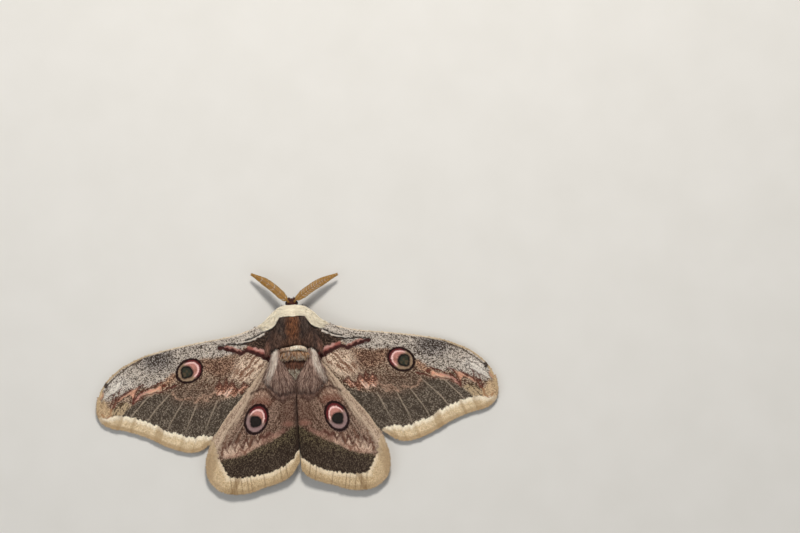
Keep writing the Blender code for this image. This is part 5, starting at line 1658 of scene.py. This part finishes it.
def palps():
    """Two fingers that point forwards and down, with short dark hair."""
    shape = []
    for side in (-1, 1):
        root = PALP_PLACE * (side, 1, 1) - (0, 0.5, -0.2)
        aim = unit(np.array((side * 0.2, 0.75, -0.6)))
        path = root + aim * np.linspace(0, PALP_LENGTH + 0.4, 9)[:, None]
        radii = np.interp(np.linspace(0, 1, 9), (0, 0.6, 1), (0.3, 0.3, 0.14))
        shape.append(tubes(path[None], radii[None], 10, BISTRE[None], np.array([(0.5, 0.5)])))
        count = 260
        t, turn = draw.random(count), draw.uniform(0, 2 * math.pi, count)
        normal = square_to(aim, turn)
        spots = root + aim * (t * PALP_LENGTH)[:, None] + normal * 0.26
        lie = unit(aim + normal * 0.35)
        brown = screen(92, 54, 38) * draw.uniform(0.7, 1.2, (count, 1))
        # Painted shade darkens each tuft towards its root.
        shape.append(tufts(spots, lie, normal, (draw.uniform(0.4, 0.7, count), np.full(count, 0.1)),
                           (0.7 * brown, brown), np.stack([turn / 7, t], axis=1), rings=2))
    return join(shape)


make_piece("palps", palps(), HAIR, True)

# %% [markdown]
# ## The legs
# Six short legs hold the moth. From above they are hidden, but from low at the side they show. Each
# is one rod whose radius swells and narrows from thigh to shin to the five small joints of the
# foot, with a woolly thigh and shin and two claws.

# %% Rods, wool and claws
LEG_ROOTS = {"front": (4.6, -32.0), "mid": (0.6, -36.0), "hind": (-3.6, -34.0)}
LEG_POINTS = {
    "front": [(5.0, 6.6, 2.8), (4.7, 8.6, 1.3), (3.4, 10.6, 0.32)],
    "mid": [(7.2, 0.6, 3.4), (9.6, -2.4, 1.5), (11.8, -5.0, 0.32)],
    "hind": [(6.8, -7.6, 3.0), (8.2, -12.4, 1.3), (8.8, -16.6, 0.32)],
}
LEG_RADII_AT = (0.0, 0.12, 0.36, 0.43, 0.50, 0.66, 0.72, 1.0)
LEG_RADII = (0.45, 0.62, 0.50, 0.30, 0.42, 0.36, 0.22, 0.19)
LEG_WOOL = 520


def leg(pair, side):
    """One leg with its wool and claws."""
    mirror = np.array((SIDES[side], 1.0, 1.0))
    y, degrees = LEG_ROOTS[pair]
    root, out = skin_point(np.array(y), np.array(math.radians(degrees)))
    path = smooth_line([root - out * 0.4, root + out * 1.4, *LEG_POINTS[pair]], 0.16)
    reach = np.linspace(0, 1, len(path))
    radii = np.interp(reach, LEG_RADII_AT, LEG_RADII)
    foot = turn_on(reach, 0.70, 0.74)
    radii = radii * (1 + 0.22 * foot * np.cos(2 * math.pi * 5 * (reach - 0.72) / 0.28))
    path[:, 2] = np.maximum(path[:, 2] - 0.05 * foot, radii + 0.01)
    shape = [tubes((path * mirror)[None], radii[None], 12, screen(92, 58, 42)[None], np.array([(0.5, 0.5)]))]
    t = draw.random(LEG_WOOL) ** 1.2 * 0.72
    here = (t * (len(path) - 1)).astype(int)
    along = unit(np.gradient(path, axis=0))[here]
    turn = draw.uniform(0, 2 * math.pi, LEG_WOOL)
    normal = square_to(along, turn)
    spots = path[here] + normal * (radii[here] * 0.85)[:, None]
    length = draw.uniform(0.5, 1.0, LEG_WOOL) * np.interp(t, (0, 0.3, 0.72), (1.4, 1.1, 0.6))
    wool = screen(120, 84, 62) * draw.uniform(0.6, 1.2, (LEG_WOOL, 1))
    lie = unit(along + normal * 0.3) * mirror
    clear = spots[:, 2] > 0.4
    # Painted shade darkens each tuft of wool towards its root.
    shape.append(tufts((spots * mirror)[clear], lie[clear], (normal * mirror)[clear],
                       (length[clear], np.full(clear.sum(), 0.13)), (0.6 * wool[clear], wool[clear]),
                       np.stack([turn / 7, t], axis=1)[clear], rings=2))
    end, ahead = path[-1], unit((path[-1] - path[-4]) * (1, 1, 0))
    beside = np.cross(ahead, (0, 0, 1))
    claws = []
    for way in (-1, 1):
        s = np.linspace(0, 1, 6)[:, None]
        arch = (0, 0, 1) * (0.10 * np.sin(3.1 * s) - 0.12 * s)
        claws.append((end + ahead * 0.5 * s + beside * way * (0.08 + 0.16 * s) + arch) * mirror)
    claw_radii = np.tile(np.linspace(0.06, 0.012, 6), (2, 1))
    shape.append(tubes(np.array(claws), claw_radii, 6, np.tile(SOOT, (2, 1)),
                       np.array([(0.3, 0.98), (0.7, 0.98)])))
    return join(shape)


for pair in LEG_ROOTS:
    for side in SIDES:
        limb = make_piece(f"leg_{pair}_{side}_woolly", leg(pair, side), SHELL, True)
        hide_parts(f"leg_{pair}_{side}")

# %% [markdown]
# ## Floor, light and camera
# The moth is shown on a pale board under one soft lamp from beyond its head, as daylight falls
# on it in the picture, with weaker lamps at the sides and a little light from all round. The
# camera looks straight down with a long lens, so nothing is stretched at the sides of the frame.
# The moth lies left of the middle, a few degrees turned.

# %% The board it lies on
BOARD_SIZE = 4.0
board_mesh = bpy.data.meshes.new("board")
corner = BOARD_SIZE / 2
board_corners = [(-corner, -corner, 0), (corner, -corner, 0), (corner, corner, 0), (-corner, corner, 0)]
board_mesh.from_pydata(board_corners, [], [(0, 1, 2, 3)])
board = bpy.data.objects.new("board", board_mesh)
bpy.context.scene.collection.objects.link(board)
board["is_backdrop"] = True
card = bpy.data.materials.new("pale card")
card.use_nodes = True
card_shader = card.node_tree.nodes["Principled BSDF"]
card_shader.inputs["Specular IOR Level"].default_value = 0.2
card_shader.inputs["Roughness"].default_value = 0.9
card_noise = card.node_tree.nodes.new("ShaderNodeTexNoise")
card_noise.inputs["Scale"].default_value = 60.0
card_place = card.node_tree.nodes.new("ShaderNodeTexCoord")
card.node_tree.links.new(card_place.outputs["Object"], card_noise.inputs["Vector"])
card_shades = card.node_tree.nodes.new("ShaderNodeValToRGB")
card_shades.color_ramp.elements[0].color = (*screen(214, 211, 204), 1)
card_shades.color_ramp.elements[1].color = (*screen(222, 219, 213), 1)
card.node_tree.links.new(card_noise.outputs["Fac"], card_shades.inputs["Fac"])
card.node_tree.links.new(card_shades.outputs["Color"], card_shader.inputs["Base Color"])
board_mesh.materials.append(card)


# %% Lamps
def lamp(name, place, size, power, colour=(1.0, 1.0, 1.0)):
    """A square lamp that faces the moth."""
    light = bpy.data.lights.new(name, "AREA")
    light.size, light.energy, light.color = size, power, colour
    stand = bpy.data.objects.new(name, light)
    stand.location = place
    stand.rotation_euler = (-Vector(place)).to_track_quat("-Z", "Y").to_euler()
    bpy.context.scene.collection.objects.link(stand)
    return stand


lamp("key lamp", (0.06, 0.42, 0.50), 0.12, 3.4, (1.0, 0.97, 0.93))
lamp("fill lamp", (-0.5, -0.1, 0.55), 0.6, 1.2, (0.94, 0.97, 1.0))
lamp("front fill", (0.45, -0.45, 0.5), 0.6, 0.8)
world = bpy.data.worlds.new("studio")
bpy.context.scene.world = world
world.use_nodes = True
world.node_tree.nodes["Background"].inputs["Color"].default_value = (0.92, 0.95, 1.0, 1.0)
world.node_tree.nodes["Background"].inputs["Strength"].default_value = 0.22
bpy.context.scene.view_settings.view_transform = "Standard"

# %% The camera
CAMERA_AXIS = (35.7, 21.3)
CAMERA_HEIGHT = 1.2
FRAME_WIDTH = 0.260
FRAME_TURN = -3.2
lens = bpy.data.cameras.new("camera")
lens.sensor_width = 36.0
lens.lens = lens.sensor_width * CAMERA_HEIGHT / FRAME_WIDTH
camera = bpy.data.objects.new("camera", lens)
camera.location = (CAMERA_AXIS[0] * MM, (CAMERA_AXIS[1] + HINGE_LINE_Y) * MM, CAMERA_HEIGHT)
camera.rotation_euler = (0.0, 0.0, math.radians(FRAME_TURN))
bpy.context.scene.collection.objects.link(camera)
bpy.context.scene.camera = camera

# %% [markdown]
# ## Measure and finish
# The dressed moth must be the size of the solids, give or take the tips of its hair. Its dressed
# size is printed.

# %% Sizes and the end
low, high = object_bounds()
print("dressed size in mm:", [round(v / MM, 1) for v in high - low])
